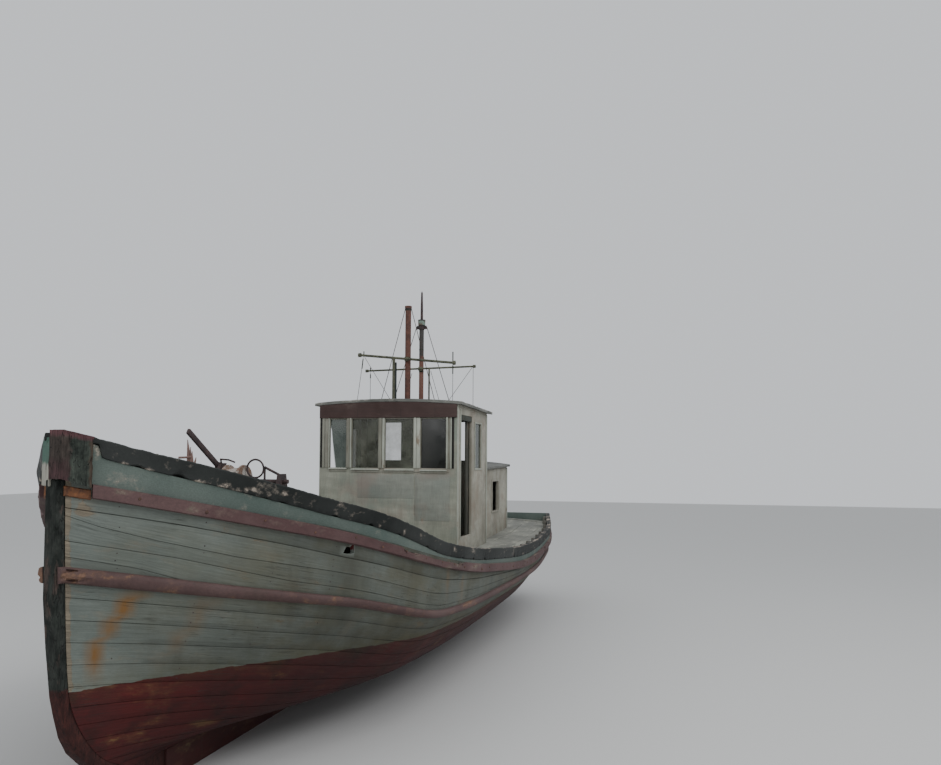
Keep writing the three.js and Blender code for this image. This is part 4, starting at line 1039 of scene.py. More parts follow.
PLANK_SPOTS = (
    (5.275, 2.46, 0.022, 0.12, 1.6), (5.2, 2.36, 0.05, 0.09, 0.7), (4.0, 1.90, 0.6, 0.012, 0.9),
    (2.3, 1.58, 0.6, 0.05, 0.9), (3.0, 1.68, 0.4, 0.05, 0.7), (1.2, 1.40, 0.7, 0.05, 0.8),
)
UPPER_SPOTS = ((4.4, 1.99, 0.2, 0.02, 0.7), (2.4, 1.45, 0.5, 0.03, 0.9), (1.7, 1.36, 0.4, 0.04, 1.0),
               (3.3, 1.70, 0.15, 0.02, 0.7))
LOWER_SPOTS = ((5.42, 1.70, 0.16, 0.06, 1.3), (5.15, 1.66, 0.2, 0.02, 0.8), (3.9, 1.38, 0.15, 0.03, 0.8),
               (1.9, 1.0, 0.5, 0.03, 0.8))


def along_side(name, ts, section, finish, hides=None, spots=(), worn_edge=(), sunk=0.0):
    """A long timber on both sides, from its section at each place along the hull."""
    rings = [section(t) for t in ts]
    bare = [max(smoothstep(5.0, 2.6, p[0]) * 0.95 if k in worn_edge else 0.0, spot_at(p[0], p[2], spots))
            for ring in rings for k, p in enumerate(ring)]
    uvs = [(6.0 - p[0], p[2]) for ring in rings for p in ring]
    port = shade_by_angle(face_outward(loft_piece(name + "_port", rings, uvs, {"bare": bare})))
    starboard = to_starboard(port, name + "_starboard", sunk)
    for piece, hand in ((port, "_port"), (starboard, "_starboard")):
        finish_piece(piece, finish, replaces=(hides + hand,) if hides else ())


def near_x(t):
    """Rough place of t along the hull, where the wear of an edge is looked up."""
    return 6 - t * 11


def rail_lift(x):
    """Extra height of the rail where it sags less than the sheer below it."""
    return 0.034 * max(0.0, 1 - ((x - 3.85) / 0.85) ** 2) ** 2


def past_stem(t, level, out, line, rise=0.0):
    """A point off the side, which runs on ahead of the stem where t is below zero."""
    if t >= 0:
        return side(t, level, out)
    ahead = -t * (LINES[line][0] - LINES[line][1])
    return hull_point(0, level) + np.array([ahead, out - 0.3 * ahead, rise * ahead])


def bulwark_section(t):
    high = level_at(t, RAIL, -CAP_HEIGHT if t < STRAKE_START else -STRAKE_HEIGHT)
    lift = rail_lift(near_x(t)) + 0.001
    places = [(share, 0.0) for share in (0.0, 0.35, 0.7, 1.0)]
    places += [(share, -BULWARK_THICK) for share in (1.0, 0.5, 0.0)]
    return [side(t, SHEER + (high - SHEER) * share, out, lift * share) for share, out in places]


def strake_section(t):
    start = smoothstep(STRAKE_START - 0.0003, STRAKE_START + 0.0001, t)
    low = level_at(t, RAIL, -CAP_HEIGHT - (STRAKE_HEIGHT - CAP_HEIGHT) * start)
    x, height = near_x(t), RAIL - low
    out, inner, round_off = STRAKE_PROUD, -BULWARK_THICK - STRAKE_PROUD, 0.006
    lift = rail_lift(x)
    nibble = abs(0.004 * rough(x, 0, 9) + 0.003 * rough(x, 0, 40, 5))
    tooth = max(0.0, rough(x, 0, 11, 9) - 0.25) * 0.03 + 0.003 * abs(rough(x, 1, 60, 2))
    return [side(t, level, away, up) for level, away, up in (
        (low, out - round_off, lift + tooth * 0.8), (low + height * 0.05, out, lift + tooth),
        (low + height * 0.3, out - 0.3 * tooth, lift), (low + height * 0.6, out, lift),
        (RAIL - height * 0.06, out, lift - nibble), (RAIL, out - round_off, lift - nibble * 1.2),
        (RAIL, inner + round_off, lift - nibble), (RAIL - height * 0.06, inner, lift),
        (low, inner, lift + 0.001))]


def upper_section(t):
    low = level_at(t, SHEER, -UPPER_GUARD_HEIGHT)
    x, height = near_x(t), SHEER - low
    wear = abs(0.003 * rough(x, 1, 6) + 0.002 * rough(x, 2, 30))
    dent = max(0.0, rough(x, 3, 5, 4) - 0.55) * 0.03
    front = GUARD_PROUD - 0.002 - wear - dent
    broken = smoothstep(0.195, 0.203, t) * smoothstep(0.34, 0.3, t)
    broken *= 0.03 + 0.014 * rough(x, 8, 7) + 0.01 * rough(x, 5, 33)
    broken += 0.012 * max(0.0, 1 - abs(x - 4.1) / 0.7)
    return [side(t, level, away, up) for level, away, up in (
        (low, 0.001, 0.0), (SHEER, 0.001, -broken), (SHEER, front - 0.012, -0.004 - broken),
        (SHEER - height * 0.08, front, -broken), (SHEER - height * 0.5, front + 0.001, 0.0),
        (low + height * 0.08, front, 0.0), (low, front - 0.012, 0.004))]


def lower_section(t):
    tall = LOWER_GUARD_HEIGHT / 2 * (1 + 0.42 * smoothstep(0.16, 0.01, t))
    low, high = (level_at(max(t, 0.0), LOWER_GUARD, rise) for rise in (-tall, tall))
    x, rot = near_x(t), smoothstep(0.022, -0.003, t)
    ring = []
    for k in range(11):
        a = math.pi * k / 10
        eaten = 0.004 + 0.02 * max(0.0, rough(x, k * 0.3, 16, 2)) + 0.01 * max(0.0, rough(x, k, 40))
        out = (GUARD_PROUD - 0.001) * math.sin(a) ** 0.7 + 0.0012 * rough(x, 6, 12)
        out = max(0.002, min(out, GUARD_PROUD - 0.0005) - rot * eaten * (1.3 if 3 <= k <= 7 else 0.4))
        ring.append(past_stem(t, low + (high - low) * (0.5 - 0.5 * math.cos(a)), out, LOWER_GUARD, 0.03))
    return ring


def strip_section(t):
    """Section of the rusty strip that ends the upper guard at the chock."""
    low, high = (level_at(max(t, 0.0), SHEER, rise) for rise in (-0.105, -0.038))
    x, round_off = near_x(t), (high - low) * 0.1
    out = 0.012 + 0.003 * rough(x, 3, 30) + 0.002 * rough(x, 9, 80)
    ring = ((low, 0.001), (high, 0.001), (high - round_off, out), (low + round_off, out + 0.002))
    return [past_stem(t, level, away, SHEER) for level, away in ring]


def bulwarks_and_guards():
    along_side("bulwark_plank", spread(0.0, 1.0, 330), bulwark_section, "blue_strip", "bulwark",
               PLANK_SPOTS)
    along_side("rail_strake", spread(FORE_END, 1.0, 700), strake_section, "black_strake",
               "rail_strake", STRAKE_SPOTS, (5, 6))
    along_side("upper_guard", spread(BLOCK_END + 0.0001, AFT_END, 240), upper_section, "maroon",
               "upper_guard", UPPER_SPOTS, (1, 2), UPPER_GUARD_SUNK)
    along_side("lower_guard", spread(-0.0048, AFT_END, 400), lower_section, "low_maroon",
               "lower_guard", LOWER_SPOTS)
    along_side("rusty_strip", spread(-0.0012, BLOCK_END - 0.0004, 24), strip_section, "rust_fitting")
    bolts = []
    for t in spread(0.03, 0.975, 34):
        level = level_at(t, SHEER, -UPPER_GUARD_HEIGHT / 2 + 0.012 * math.sin(t * 97))
        bolts.append((t, level, GUARD_PROUD - 0.004))
    studs("guard_bolts", bolts, 0.011, 0.005, "rust_iron", extra=UPPER_GUARD_SUNK)


def plank_nails():
    """Rusty nail heads where the planks cross the frames, in pairs."""
    rng = random.Random(4)
    nails = []
    for t in spread(0.022, 0.985, 27):
        edges = plank_edges(t)[0]
        for a, b in zip(edges[5:], edges[6:]):
            for share in (0.25, 0.75):
                if rng.random() >= 0.6:
                    at = t + rng.uniform(-0.0008, 0.0008)
                    nails.append((at, a + (b - a) * (share + rng.uniform(-0.05, 0.05)), -0.0004))
    studs("plank_nails", nails, 0.005, 0.0014, "dark_iron", 6)


def bulwark_frames():
    """Upright frames inside the bulwarks, from the deck to the rail."""
    faces = [(0, 1, 2, 3), (7, 6, 5, 4), (0, 4, 5, 1), (1, 5, 6, 2), (2, 6, 7, 3), (3, 7, 4, 0)]
    frames = []
    for t in spread(0.035, 0.5, 12) + spread(0.54, 0.965, 11):
        points = []
        for level in (SHEER + 0.02, level_at(t, RAIL, -0.004)):
            p, v = side(t, level, -BULWARK_THICK - STRAKE_PROUD - 0.001), outward(t, level)
            along = np.array([v[1], -v[0], 0])
            for a, o in ((-0.03, 0.0), (0.03, 0.0), (0.03, -0.05), (-0.03, -0.05)):
                points.append(p + along * a + v * o)
        frames.append(new_piece("frame", points, faces))
        frames.append(to_starboard(frames[-1], "frame"))
    piece = face_outward(joined("bulwark_frames", frames))
    finish_piece(rounded(piece, 0.006, 1), "frames_wood")


# Timbers at the bow and the stern
def bow_and_stern_timbers():
    stem = copy_of_node("stem")
    for vert in stem.data.vertices:
        if abs(vert.co.y) < 0.046 and vert.co.x > 5.2:
            vert.co.x -= STEM_SHORT * smoothstep(0.35, 0.8, vert.co.z)
    finish_piece(rounded(stem, 0.006), "stem_timber", replaces=("stem",))
    worn_nodes("keel_timber", "dark_timber", 0.006, "keel")
    worn_nodes("blue_strip", "planking", 0.004, "stern_bulwark")
    dress("bronze", "propeller")
    worn_nodes("keel_timber", "dark_timber", 0.004, "rudder", body="rudder")


def transom_planks():
    """Planks across the stern, cut to the hull's outline."""
    outline = [hull_point(1, level) for level in spread(0, SHEER, 60)]
    xs, ys, zs = ([p[axis] for p in outline] for axis in range(3))
    planks = []
    edges = spread(zs[0] + 0.001, zs[-1] - 0.001, 8)
    for low, high in zip(edges, edges[1:]):
        port = [(np.interp(z, zs, xs), np.interp(z, zs, ys), z) for z in spread(low + 0.002, high - 0.002, 7)]
        ring = port + [(x, -y, z) for x, y, z in port[::-1]]
        for share, backs in ((1.0, (0.0015, 0.0445)), (0.99, (0.001, 0.03))):
            rings = [[(x - back, y * share, z) for x, y, z in ring] for back in backs]
            planks.append(loft_piece("plank", rings))
    piece = face_outward(joined("transom_planks", planks))
    finish_piece(rounded(piece, 0.002, 1), "transom", replaces=("transom",))


def chocks():
    """Heavy chocks on each side of the stem head: a framed panel to port, a worn stump to starboard."""
    def panel(bm):
        bm.normal_update()
        faces = [f for f in bm.faces
                 if f.normal.y > 0.5 and abs(f.normal.z) < 0.5 and f.calc_center_median().x < 5.47]
        bmesh.ops.inset_region(bm, faces=faces, thickness=0.026, depth=-0.007)
        long_edges = [e for e in bm.edges if e.calc_length() > 0.05]
        bmesh.ops.subdivide_edges(bm, edges=long_edges, cuts=5, use_grid_fill=True)
        for vert in bm.verts:
            worn = 0.004 * rough(vert.co.x, vert.co.z, 9, 3) + 0.003 * rough(vert.co.x, vert.co.z, 30, 6)
            vert.co -= vert.normal * max(0.0, 0.002 + worn)

    port = rounded(edited(copy_of_node("bow_block_port"), panel), 0.003, 1, 40)
    finish_piece(port, "block_port", replaces=("bow_block_port",))

    bow = hull_point(0, SHEER + 0.5)
    rings = []
    for z, top in ((2.262, 0), (2.33, 0), (2.40, 0), (2.47, 0), (2.53, 0), (2.56, 1), (2.575, 2)):
        nose, swell = 5.482 - 0.02 * top, 0.004 * rough(z, 0, 12)
        rings.append([
            (nose, -0.0015, z), (nose - 0.028, -0.03, z), (5.425 - 0.01 * top, -0.075 - swell, z),
            (5.385, -0.112 - swell + 0.006 * top, z), (5.335, -0.186 + 0.006 * top, z + 0.01 * top),
            (5.305, -0.182, z), (bow[0] + 0.007, -bow[1] - 0.003, z), (bow[0] + 0.007, -0.0015, z),
        ])
    stump = rounded(face_outward(loft_piece("bow_block_starboard_worn", rings)), 0.006, 2, 25)
    finish_piece(stump, "block_starboard", replaces=("bow_block_starboard",))


# Deck, hatch and gear
def runs_of(values, wanted):
    """Unbroken runs of the values that are wanted."""
    runs = [[]]
    for value in values:
        if wanted(value):
            runs[-1].append(value)
        elif runs[-1]:
            runs.append([])
    return [run for run in runs if run]


def deck_boards():
    """Planks laid fore and aft on the crowned deck, stopped at the houses and the hatch."""
    width = bpy.context.scene.old_boat_hull.deck_plank
    gap, inset, proud, near = 0.004, BULWARK_THICK + 0.026, 0.014, 0.003
    edge = [side(t, SHEER, -inset) for t in spread(0.017, AFT_END - 0.001, 230)][::-1]
    xs, ys, zs = (np.array([p[axis] for p in edge]) for axis in range(3))
    wall = HATCH["wall"]
    blocks = ((HOUSE["back"], HOUSE["front"], HOUSE["half"]), (CABIN["back"], CABIN["front"], CABIN["half"]),
              (HATCH["aft"] - wall, HATCH["fore"] + wall, HATCH["half"] + wall))

    def top(x, y):
        half = np.interp(x, xs, ys)
        return np.interp(x, xs, zs) + 0.040 + 0.060 * (1 - min(1.0, (y / (half + 0.012)) ** 2)) + 0.0005

    def board(places, y0, y1, thick):
        rings = []
        for x in places:
            a, b = top(x, y0), top(x, y1)
            rings.append([(x, y0, a), (x, y0, a + thick), (x, y1, b + thick), (x, y1, b)])
        return loft_piece("board", rings)

    def margin(low, high):
        """A covering board inside the bulwark, which hides the ends of the deck planks."""
        rings = []
        for t in spread(0.019, AFT_END - 0.0005, 200):
            ring = []
            for out, rise in ((low, 0.0), (high, 0.0), (high, proud), (low, proud)):
                x, y, z = side(t, SHEER, out)
                ring.append((x, max(y, 0.001), top(x, max(y, 0.001)) + rise))
            rings.append(ring)
        return loft_piece("margin", rings)

    def stern_board(x0, x1):
        half = hull_point(1, SHEER)[1] - 0.05
        rings = []
        for y in spread(-half, half, 31):
            z = top(xs[0], y) + proud
            rings.append([(x0, y, z - 0.04), (x1, y, z - 0.04), (x1, y, z), (x0, y, z)])
        return loft_piece("board", rings)

    rng = random.Random(11)
    boards = [margin(-BULWARK_THICK - 0.002, -BULWARK_THICK - 0.15)]
    boards.append(to_starboard(boards[0], "margin"))
    stern = hull_point(1, SHEER)[0]
    middle = (stern + xs[0]) / 2
    boards += [stern_board(stern + 0.002, middle - 0.002), stern_board(middle + 0.002, xs[0] + 0.02)]
    for a, b, half in blocks:
        reach = width * math.ceil((half + near - gap / 2) / width) - gap / 2
        if reach - half - 0.001 > 0.005:
            for y0, y1 in ((half + 0.001, reach), (-reach, -half - 0.001)):
                boards.append(board(spread(a - near, b + near, 12), y0, y1, 0.006))
    count = int(1.8 / width) + 1
    for k in range(-count, count):
        y0, y1 = k * width + gap / 2, (k + 1) * width - gap / 2
        inner, outer = sorted((abs(y0), abs(y1)))

        def free(x):
            return outer <= np.interp(x, xs, ys) and not any(
                a - near < x < b + near and inner < half + near for a, b, half in blocks)

        for run in runs_of(np.arange(xs[0], xs[-1], 0.01), free):
            start = 0
            while len(run) - start > 8:
                stop = min(len(run), start + rng.randint(240, 440))
                if len(run) - stop < 48:
                    stop = len(run)
                part = run[start:stop]
                lift = rng.uniform(0.005, 0.008)
                places = part[::12] + ([part[-1]] if (len(part) - 1) % 12 else [])
                if stop < len(run):
                    places[-1] += 0.005
                if len(places) > 1:
                    boards.append(board(places, y0, y1, lift))
                start = stop
    finish_piece(face_outward(joined("deck_boards", boards)), "deck_planks")
    # Painted shadow: the deck's own parts, lowered and near-black, show as shade through the gaps between the
    # planks.
    for node in ("deck_fore", "deck_port", "deck_starboard", "deck_aft"):
        bed = copy_of_node(node, "_shadow_bed")
        for vert in bed.data.vertices:
            vert.co.z -= BED_DROP
        finish_piece(bed, "dark_gap", replaces=(node,))


def hatch_and_lining():
    """The hatch, and the boards that line the fish hold."""
    worn_nodes("deck_planks", "deck_wood", 0.005, "hatch_coaming")
    worn_nodes("deck_planks_across", "deck_wood", 0.004, "hatch_cover", body="hatch_cover")
    aft, fore, half, floor, thick = HATCH["aft"], HATCH["fore"], HATCH["half"], HATCH["floor"], 0.02
    wide = half + thick
    parts = [box_piece("floor", (aft - thick, -wide, floor - thick), (fore + thick, wide, floor))]
    for x0, x1, y0, y1 in ((aft - thick, aft, -wide, wide), (fore, fore + thick, -wide, wide),
                           (aft, fore, half, wide), (aft, fore, -wide, -half)):
        z = floor
        while z < 1.12:
            parts.append(box_piece("board", (x0, y0, z + 0.003), (x1, y1, min(z + 0.11, 1.125))))
            z += 0.113
    finish_piece(joined("hold_lining", parts), "deck_planks")


def foredeck_gear():
    low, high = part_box("bitt_post")
    middle = (low.x + high.x) / 2
    foot = [(middle, -0.02, low.z + 0.001), (middle, -0.022, 2.385)]
    slivers = [bar_piece("foot", foot, [0.058, 0.052], 7)]
    for y, lean, top, radius in ((-0.046, -0.010, 2.600, 0.024), (-0.018, 0.006, 2.505, 0.022),
                                 (0.004, 0.022, 2.455, 0.017), (-0.03, 0.002, 2.54, 0.014)):
        points = [(middle + 0.4 * y, y, 2.33), (middle + 0.3 * y, y + lean * 0.3, 2.33 + (top - 2.33) * 0.45),
                  (middle, y + lean, top)]
        slivers.append(bar_piece("sliver", points, [radius, radius * 0.72, 0.003], 6))
    slivers.append(bar_piece("pin", [(middle, -0.135, 2.452), (middle, -0.012, 2.456)], 0.009, 8))
    post = face_outward(joined("splintered_post", slivers))
    finish_piece(post, "splintered", replaces=("bitt_post",))
    dress("dark_iron", "winch_frame")
    dress("pale_iron", "winch_drum")

    def thicken(bm):
        bm.normal_update()
        for vert in bm.verts:
            vert.co += vert.normal * 0.006

    lever = rounded(edited(copy_of_node("winch_lever"), thicken), 0.002)
    finish_piece(lever, "dark_iron", "winch_lever", ("winch_lever",))


# Wheelhouse and cabin
def band(y, y1, x0, x1, z0, z1):
    """Corners of a box from its spans, with the spans across in either order."""
    return (x0, min(y, y1), z0), (x1, max(y, y1), z1)


def window_frame(window, wall, width, thick):
    """Four battens round a window in a side wall."""
    x0, x1, z0, z1 = (window[key] for key in ("aft", "fore", "low", "high"))
    spans = ((x0 - width, x0 - 0.0005, z0 - width, z1 + width),
             (x1 + 0.0005, x1 + width, z0 - width, z1 + width),
             (x0, x1, z0 - width, z0 - 0.0005), (x0, x1, z1 + 0.0005, z1 + width))
    return [band(wall, wall + thick, *span) for span in spans]


FRONT_STRIPS = (
    # strips between the front windows: side, side, finish, how proud
    # The two near-black strips at the ends of the front are painted shadow in the gaps there.
    (-0.975, -0.945, "dark_gap", 0.003), (-0.942, -0.908, "frames", 0.016), (-0.904, -0.850, "frames", 0.010),
    (-0.846, -0.838, "posts", 0.020), (-0.582, -0.536, "frames", 0.018), (-0.531, -0.513, "posts", 0.022),
    (-0.116, -0.072, "frames", 0.020), (-0.066, -0.034, "posts", 0.014), (0.382, 0.416, "posts", 0.018),
    (0.421, 0.471, "posts", 0.012), (0.838, 0.854, "posts", 0.022), (0.856, 0.888, "frames", 0.008),
    (0.892, 0.907, "posts", 0.012), (0.909, 0.940, "dark_gap", 0.004),
)


def house_walls():
    worn_nodes("plywood", "house_paint", 0.002, "house_front")
    worn_nodes("side_plywood", "house_paint", 0.002, *pair_of("house_side"))
    back = copy_of_node("house_back")
    for vert in back.data.vertices:
        if abs(vert.co.z - BACK_WINDOW["high"]) < 0.002 and abs(vert.co.y) < BACK_WINDOW["outer"] + 0.002:
            vert.co.z += 0.045
        if abs(abs(vert.co.y) - BACK_WINDOW["inner"]) < 0.002:
            vert.co.y -= math.copysign(0.014, vert.co.y)
    finish_piece(rounded(back, 0.002), "plywood", replaces=("house_back",))


def front_battens():
    """Posts, frames, sills and patches on the front wall."""
    front = HOUSE["front"]
    x0, z0, z1 = front + 0.0004, FRONT_SILL - 0.001, FRONT_HEAD + 0.001
    boxes = {"posts": [], "frames": [], "dark_gap": []}
    for y0, y1, finish, proud in FRONT_STRIPS:
        boxes[finish].append(((x0, y0, z0), (x0 + proud, y1, z1)))
    for (w0, w1), drop in zip(FRONT_WINDOWS, (0.0, -0.008, -0.012, -0.016)):
        foot = z0 + drop
        for y0, y1, low in ((w0 + 0.001, w0 + 0.009, z0 + 0.002), (w1 - 0.009, w1 - 0.001, z0 + 0.002),
                            (w0 + 0.010, w1 - 0.010, z1 - 0.016)):
            boxes["frames"].append(((front - 0.012, y0, low), (front + 0.004, y1, z1 - 0.002)))
        boxes["posts"].append(((x0, w0 - 0.004, foot - 0.020), (x0 + 0.026, w1 + 0.006, foot - 0.003)))
        boxes["frames"].append(((x0, w0 + 0.002, foot - 0.052), (x0 + 0.010, w1 - 0.002, foot - 0.022)))
    low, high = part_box("house_fascia")
    for y in (-0.42, 0.2, 0.68):
        boxes["dark_gap"].append(((high.x - 0.001, y - 0.0015, low.z + 0.004),
                                  (high.x + 0.0006, y + 0.0015, low.z + 0.125)))
    box_set("front_posts", boxes["posts"], "posts")
    box_set("front_frames", boxes["frames"], "frames")
    box_set("end_gaps", boxes["dark_gap"], "dark_gap", 0.0004)
    low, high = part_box("window_sill")
    z = low.z + 0.02
    shelf = [((low.x, low.y + 0.43, z), (low.x + 0.008, high.y - 0.01, z + 0.012))]
    box_set("sill_batten", shelf, "frames", replaces=("window_sill",))
    patches = [((x0, 0.40, 1.64), (x0 + 0.003, 0.885, 2.255)), ((x0, -0.42, 1.93), (x0 + 0.002, 0.385, 2.25))]
    box_set("front_patches", patches, "patch", 0.0008)


def side_battens():
    """Trims round the doors and windows of both houses, and boards over the doors."""
    front, back, fore, aft = HOUSE["front"], HOUSE["back"], DOORWAY["fore"], DOORWAY["aft"]
    trims, lintels, cabin_trims, casings = [], [], [], []
    for sign in (1, -1):
        wall, inside = sign * (HOUSE["half"] + 0.0004), sign * (HOUSE["half"] - 0.038)
        trims += window_frame(SIDE_WINDOW, wall, 0.022, sign * 0.011)
        trims += [band(wall, wall + sign * 0.009, *span) for span in (
            (fore + 0.0005, fore + 0.035, DOORWAY["low"] - 0.02, 3.13),
            (front - 0.065, front - 0.001, 1.33, 3.17), (back + 0.001, back + 0.05, 1.26, 3.13))]
        lintels.append(band(inside, inside + sign * 0.036, aft + 0.001, fore - 0.001, 2.985, 3.059))
        wall = sign * (CABIN["half"] + 0.0004)
        casings += window_frame(CABIN_WINDOW, wall, 0.03, sign * 0.010)
        cabin_trims += [band(wall, wall + sign * 0.010, *span) for span in (
            (CABIN["back"] + 0.001, CABIN["back"] + 0.055, 1.30, CABIN["eave_back"] - 0.03),
            (CABIN["front"] - 0.052, CABIN["front"] - 0.006, 1.27, CABIN["eave_front"] - 0.03))]
    box_set("side_trims", trims, "posts")
    box_set("door_lintels", lintels, "inside")
    box_set("cabin_trims", cabin_trims, "posts")
    box_set("cabin_casings", casings, "side_plywood")


def roof_top(x, y):
    """Height of the roof canvas: the crown is level and the eaves fall towards the stern."""
    back = (ROOF["fore"] - x) / (ROOF["fore"] - ROOF["aft"])
    camber = ROOF["camber_fore"] + (ROOF["camber_aft"] - ROOF["camber_fore"]) * back
    return ROOF["top"] - camber * (y / ROOF["half"]) ** 2


def roof_canvas():
    """Thin crowned roof with a worn, uneven edge."""
    low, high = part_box("house_roof")
    nx, ny = 48, 60
    verts, bare = [], []
    for layer in (0, 1):
        for i in range(nx + 1):
            for j in range(ny + 1):
                u, v = i / nx, j / ny * 2 - 1
                edge = max(abs(u * 2 - 1), abs(v))
                x, y = low.x + (high.x - low.x) * u, high.y * v
                if edge > 0.999:
                    bite = 0.002 + 0.006 * abs(rough(x + 3, y, 7, layer)) + 0.006 * max(0.0, rough(x, y, 23))
                    x -= math.copysign(bite, u - 0.5) if i in (0, nx) else 0
                    y -= math.copysign(bite, v) if j in (0, ny) else 0
                top = roof_top(x, y) - 0.001
                swell = 0.002 * rough(x, y, 3.2)
                if edge >= 0.98:
                    swell = -0.002 - 0.007 * max(0.0, rough(x, y, 12, 7))
                verts.append((x, y, top - ROOF_THICK + 0.003 if layer else top - 0.001 + swell))
                bare.append(0.0 if layer else 0.9 if edge > 0.94 else 0.2)
    row, step = ny + 1, (nx + 1) * (ny + 1)
    faces = grid_faces(nx + 1, row)
    faces += [(step + a, step + d, step + c, step + b) for a, b, c, d in faces]
    rim = [i * row for i in range(nx)] + [nx * row + j for j in range(ny)]
    rim += [i * row + ny for i in range(nx, 0, -1)] + [j for j in range(ny, 0, -1)]
    faces += [(a, b, b + step, a + step) for a, b in zip(rim, rim[1:] + rim[:1])]
    piece = face_outward(new_piece("house_roof_canvas", verts, faces, attributes={"bare": bare}))
    finish_piece(shade_by_angle(piece, 40), "roof", replaces=("house_roof",))


def roof_edges():
    """Fascia under the front of the roof and boards under its eaves."""
    low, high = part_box("house_fascia")
    across = spread(-high.y, high.y, 41)
    rings = []
    for x in (low.x, high.x - 0.003, high.x):
        back = 0.003 if x == high.x else 0.0
        head = [(x, y, roof_top(high.x, y) - ROOF_THICK - 0.001 - back) for y in across]
        rings.append([(x, y, low.z + back) for y in across] + head[::-1])
    fascia = face_outward(loft_piece("house_fascia_board", rings))
    finish_piece(fascia, "fascia", replaces=("house_fascia",))
    boards = []
    for sign in (1, -1):
        y0, y1 = sign * (HOUSE["half"] - 0.03), sign * (HOUSE["half"] + 0.0012)
        rings = []
        for x in spread(HOUSE["back"] + 0.002, HOUSE["front"] - 0.001, 9):
            top = roof_top(x, HOUSE["half"]) - ROOF_THICK + 0.002
            rings.append([(x, y0, 3.09), (x, y1, 3.09), (x, y1, top), (x, y0, top)])
        boards.append(face_outward(loft_piece("board", rings)))
    finish_piece(joined("eave_boards", boards), "side_plywood")


def panes_and_helm():
    for k, finish in enumerate(("pane_torn", "pane_clear", "pane_clear", "pane_dark")):
        dress(finish, f"front_pane_{k + 1}")
    dress("pane", *pair_of("side_pane"))
    worn_nodes("inside", "deck_wood", 0.004, "helm_bench")
    dress("dark_iron", "steering_wheel")
    dress("deck_planks", "house_sole", "cabin_sole")
    dress("engine", "engine")


def doors():
    for node, body in (("house_door_port", "port_door"), ("house_door_starboard", "starboard_door"),
                       ("cabin_door", "cabin_door")):
        worn_nodes("door_paint", "house_paint", 0.003, node, body=body)
    low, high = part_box("cabin_door")
    ledges = []
    for share in (0.12, 0.5, 0.86):
        z = low.z + (high.z - low.z) * share
        ledges.append(((low.x - 0.012, low.y + 0.03, z - 0.04), (low.x + 0.001, high.y - 0.03, z + 0.04)))
    box_set("door_ledges", ledges, "door_paint", 0.003, "cabin_door")
    foot = (low.z + high.z) / 2 + 0.12
    grip = [(low.x - off, low.y + 0.06, foot + rise)
            for off, rise in ((0.001, 0.0), (0.032, 0.004), (0.032, 0.116), (0.001, 0.12))]
    finish_piece(bar_piece("door_handle", grip, 0.006, 8), "rust_iron", "cabin_door")


def aft_cabin():
    worn_nodes("side_plywood", "house_paint", 0.002, *pair_of("cabin_side"))
    worn_nodes("plywood", "house_paint", 0.002, "cabin_back")
    worn_nodes("roof", "roof_felt", 0.005, "cabin_roof")


# Masts and rigging
def masts():
    dress("mast_rust", "mast_fore")
    dress("mast_two", "mast_aft")
    dress("yard", "crosstree_fore", "crosstree_aft")
    dress("wire", *pair_of("fore_stay"), *pair_of("aft_stay"))
    fore_x, aft_x = MAST_FORE_X, MAST_AFT_X

    def upright(name, x, z0, z1, radius, sides):
        return bar_piece(name, [(x, 0, z0), (x, 0, z1)], radius, sides)

    bands = [upright("band", x, z, z + tall, radius, 20)
             for x, radius, z, tall in ((fore_x, 0.0435, 4.615, 0.02), (fore_x, 0.0435, 3.9, 0.03),
                                        (aft_x, 0.0365, 3.78, 0.03), (aft_x, 0.0365, 4.12, 0.015))]
    finish_piece(joined("mast_bands", bands), "green_iron")
    top = 4.567
    cap = rounded(upright("mast_cap", aft_x, top - 0.066, top + 0.002, [0.054, 0.057], 16), 0.003, 1)
    finish_piece(cap, "mast_cap")
    lugs = [upright("collar", aft_x, top - 0.13, top - 0.067, 0.044, 16)]
    for sign in (1, -1):
        corners = band(sign * 0.04, sign * 0.082, aft_x - 0.008, aft_x + 0.008, top - 0.125, top - 0.085)
        lugs.append(box_piece("lug", *corners))
    lugs.append(bar_piece("staff", [(aft_x, 0, z) for z in (top, 4.78, 5.005)], [0.021, 0.019, 0.013], 10))
    finish_piece(joined("mast_collar", lugs), "dark_iron")
    ends = [(fore_x + 0.03, -0.186, 3.262), (fore_x + 0.03, -0.184, 3.86)]
    finish_piece(bar_piece("pole", ends, [0.027, 0.024], 12), "pole")
    head = rounded(upright("mast_head", fore_x, 4.632, 4.668, 0.0500, 16), 0.004, 1)
    finish_piece(head, "dark_iron")


def thin_rigging():
    fore, aft = MAST_FORE_X + 0.074, MAST_AFT_X + 0.07
    lines = [[(x, y, z), (x, foot, roof_top(x, foot))] for x, y, z, foot in (
        (fore, -0.663, 3.94, -0.76), (fore, -0.64, 3.94, -0.21), (aft, -0.80, 3.79, -0.80),
        (aft, 0.835, 3.83, 0.835), (aft, 0.82, 3.83, 0.40), (fore, 0.70, 3.81, 0.70),
        (MAST_AFT_X, 0.15, 3.80, 0.31), (MAST_AFT_X, -0.15, 3.77, -0.29))]
    wires("thin_rigging", lines, bpy.context.scene.old_boat_house.wire_radius, "wire")
    screws = [[(x, y0, z0), (x, y1, z1)] for x, y0, z0, y1, z1 in (
        (fore, -0.667, 3.915, -0.683, 3.775), (fore, 0.70, 3.79, 0.70, 3.67), (aft, -0.80, 3.76, -0.80, 3.70),
        (fore, 0.70, 3.84, 0.70, 3.985), (fore, -0.655, 3.95, -0.655, 4.03),
        (aft, -0.80, 3.80, -0.80, 3.865))]
    wires("turnbuckles", screws, 0.0085, "green_iron", 8)


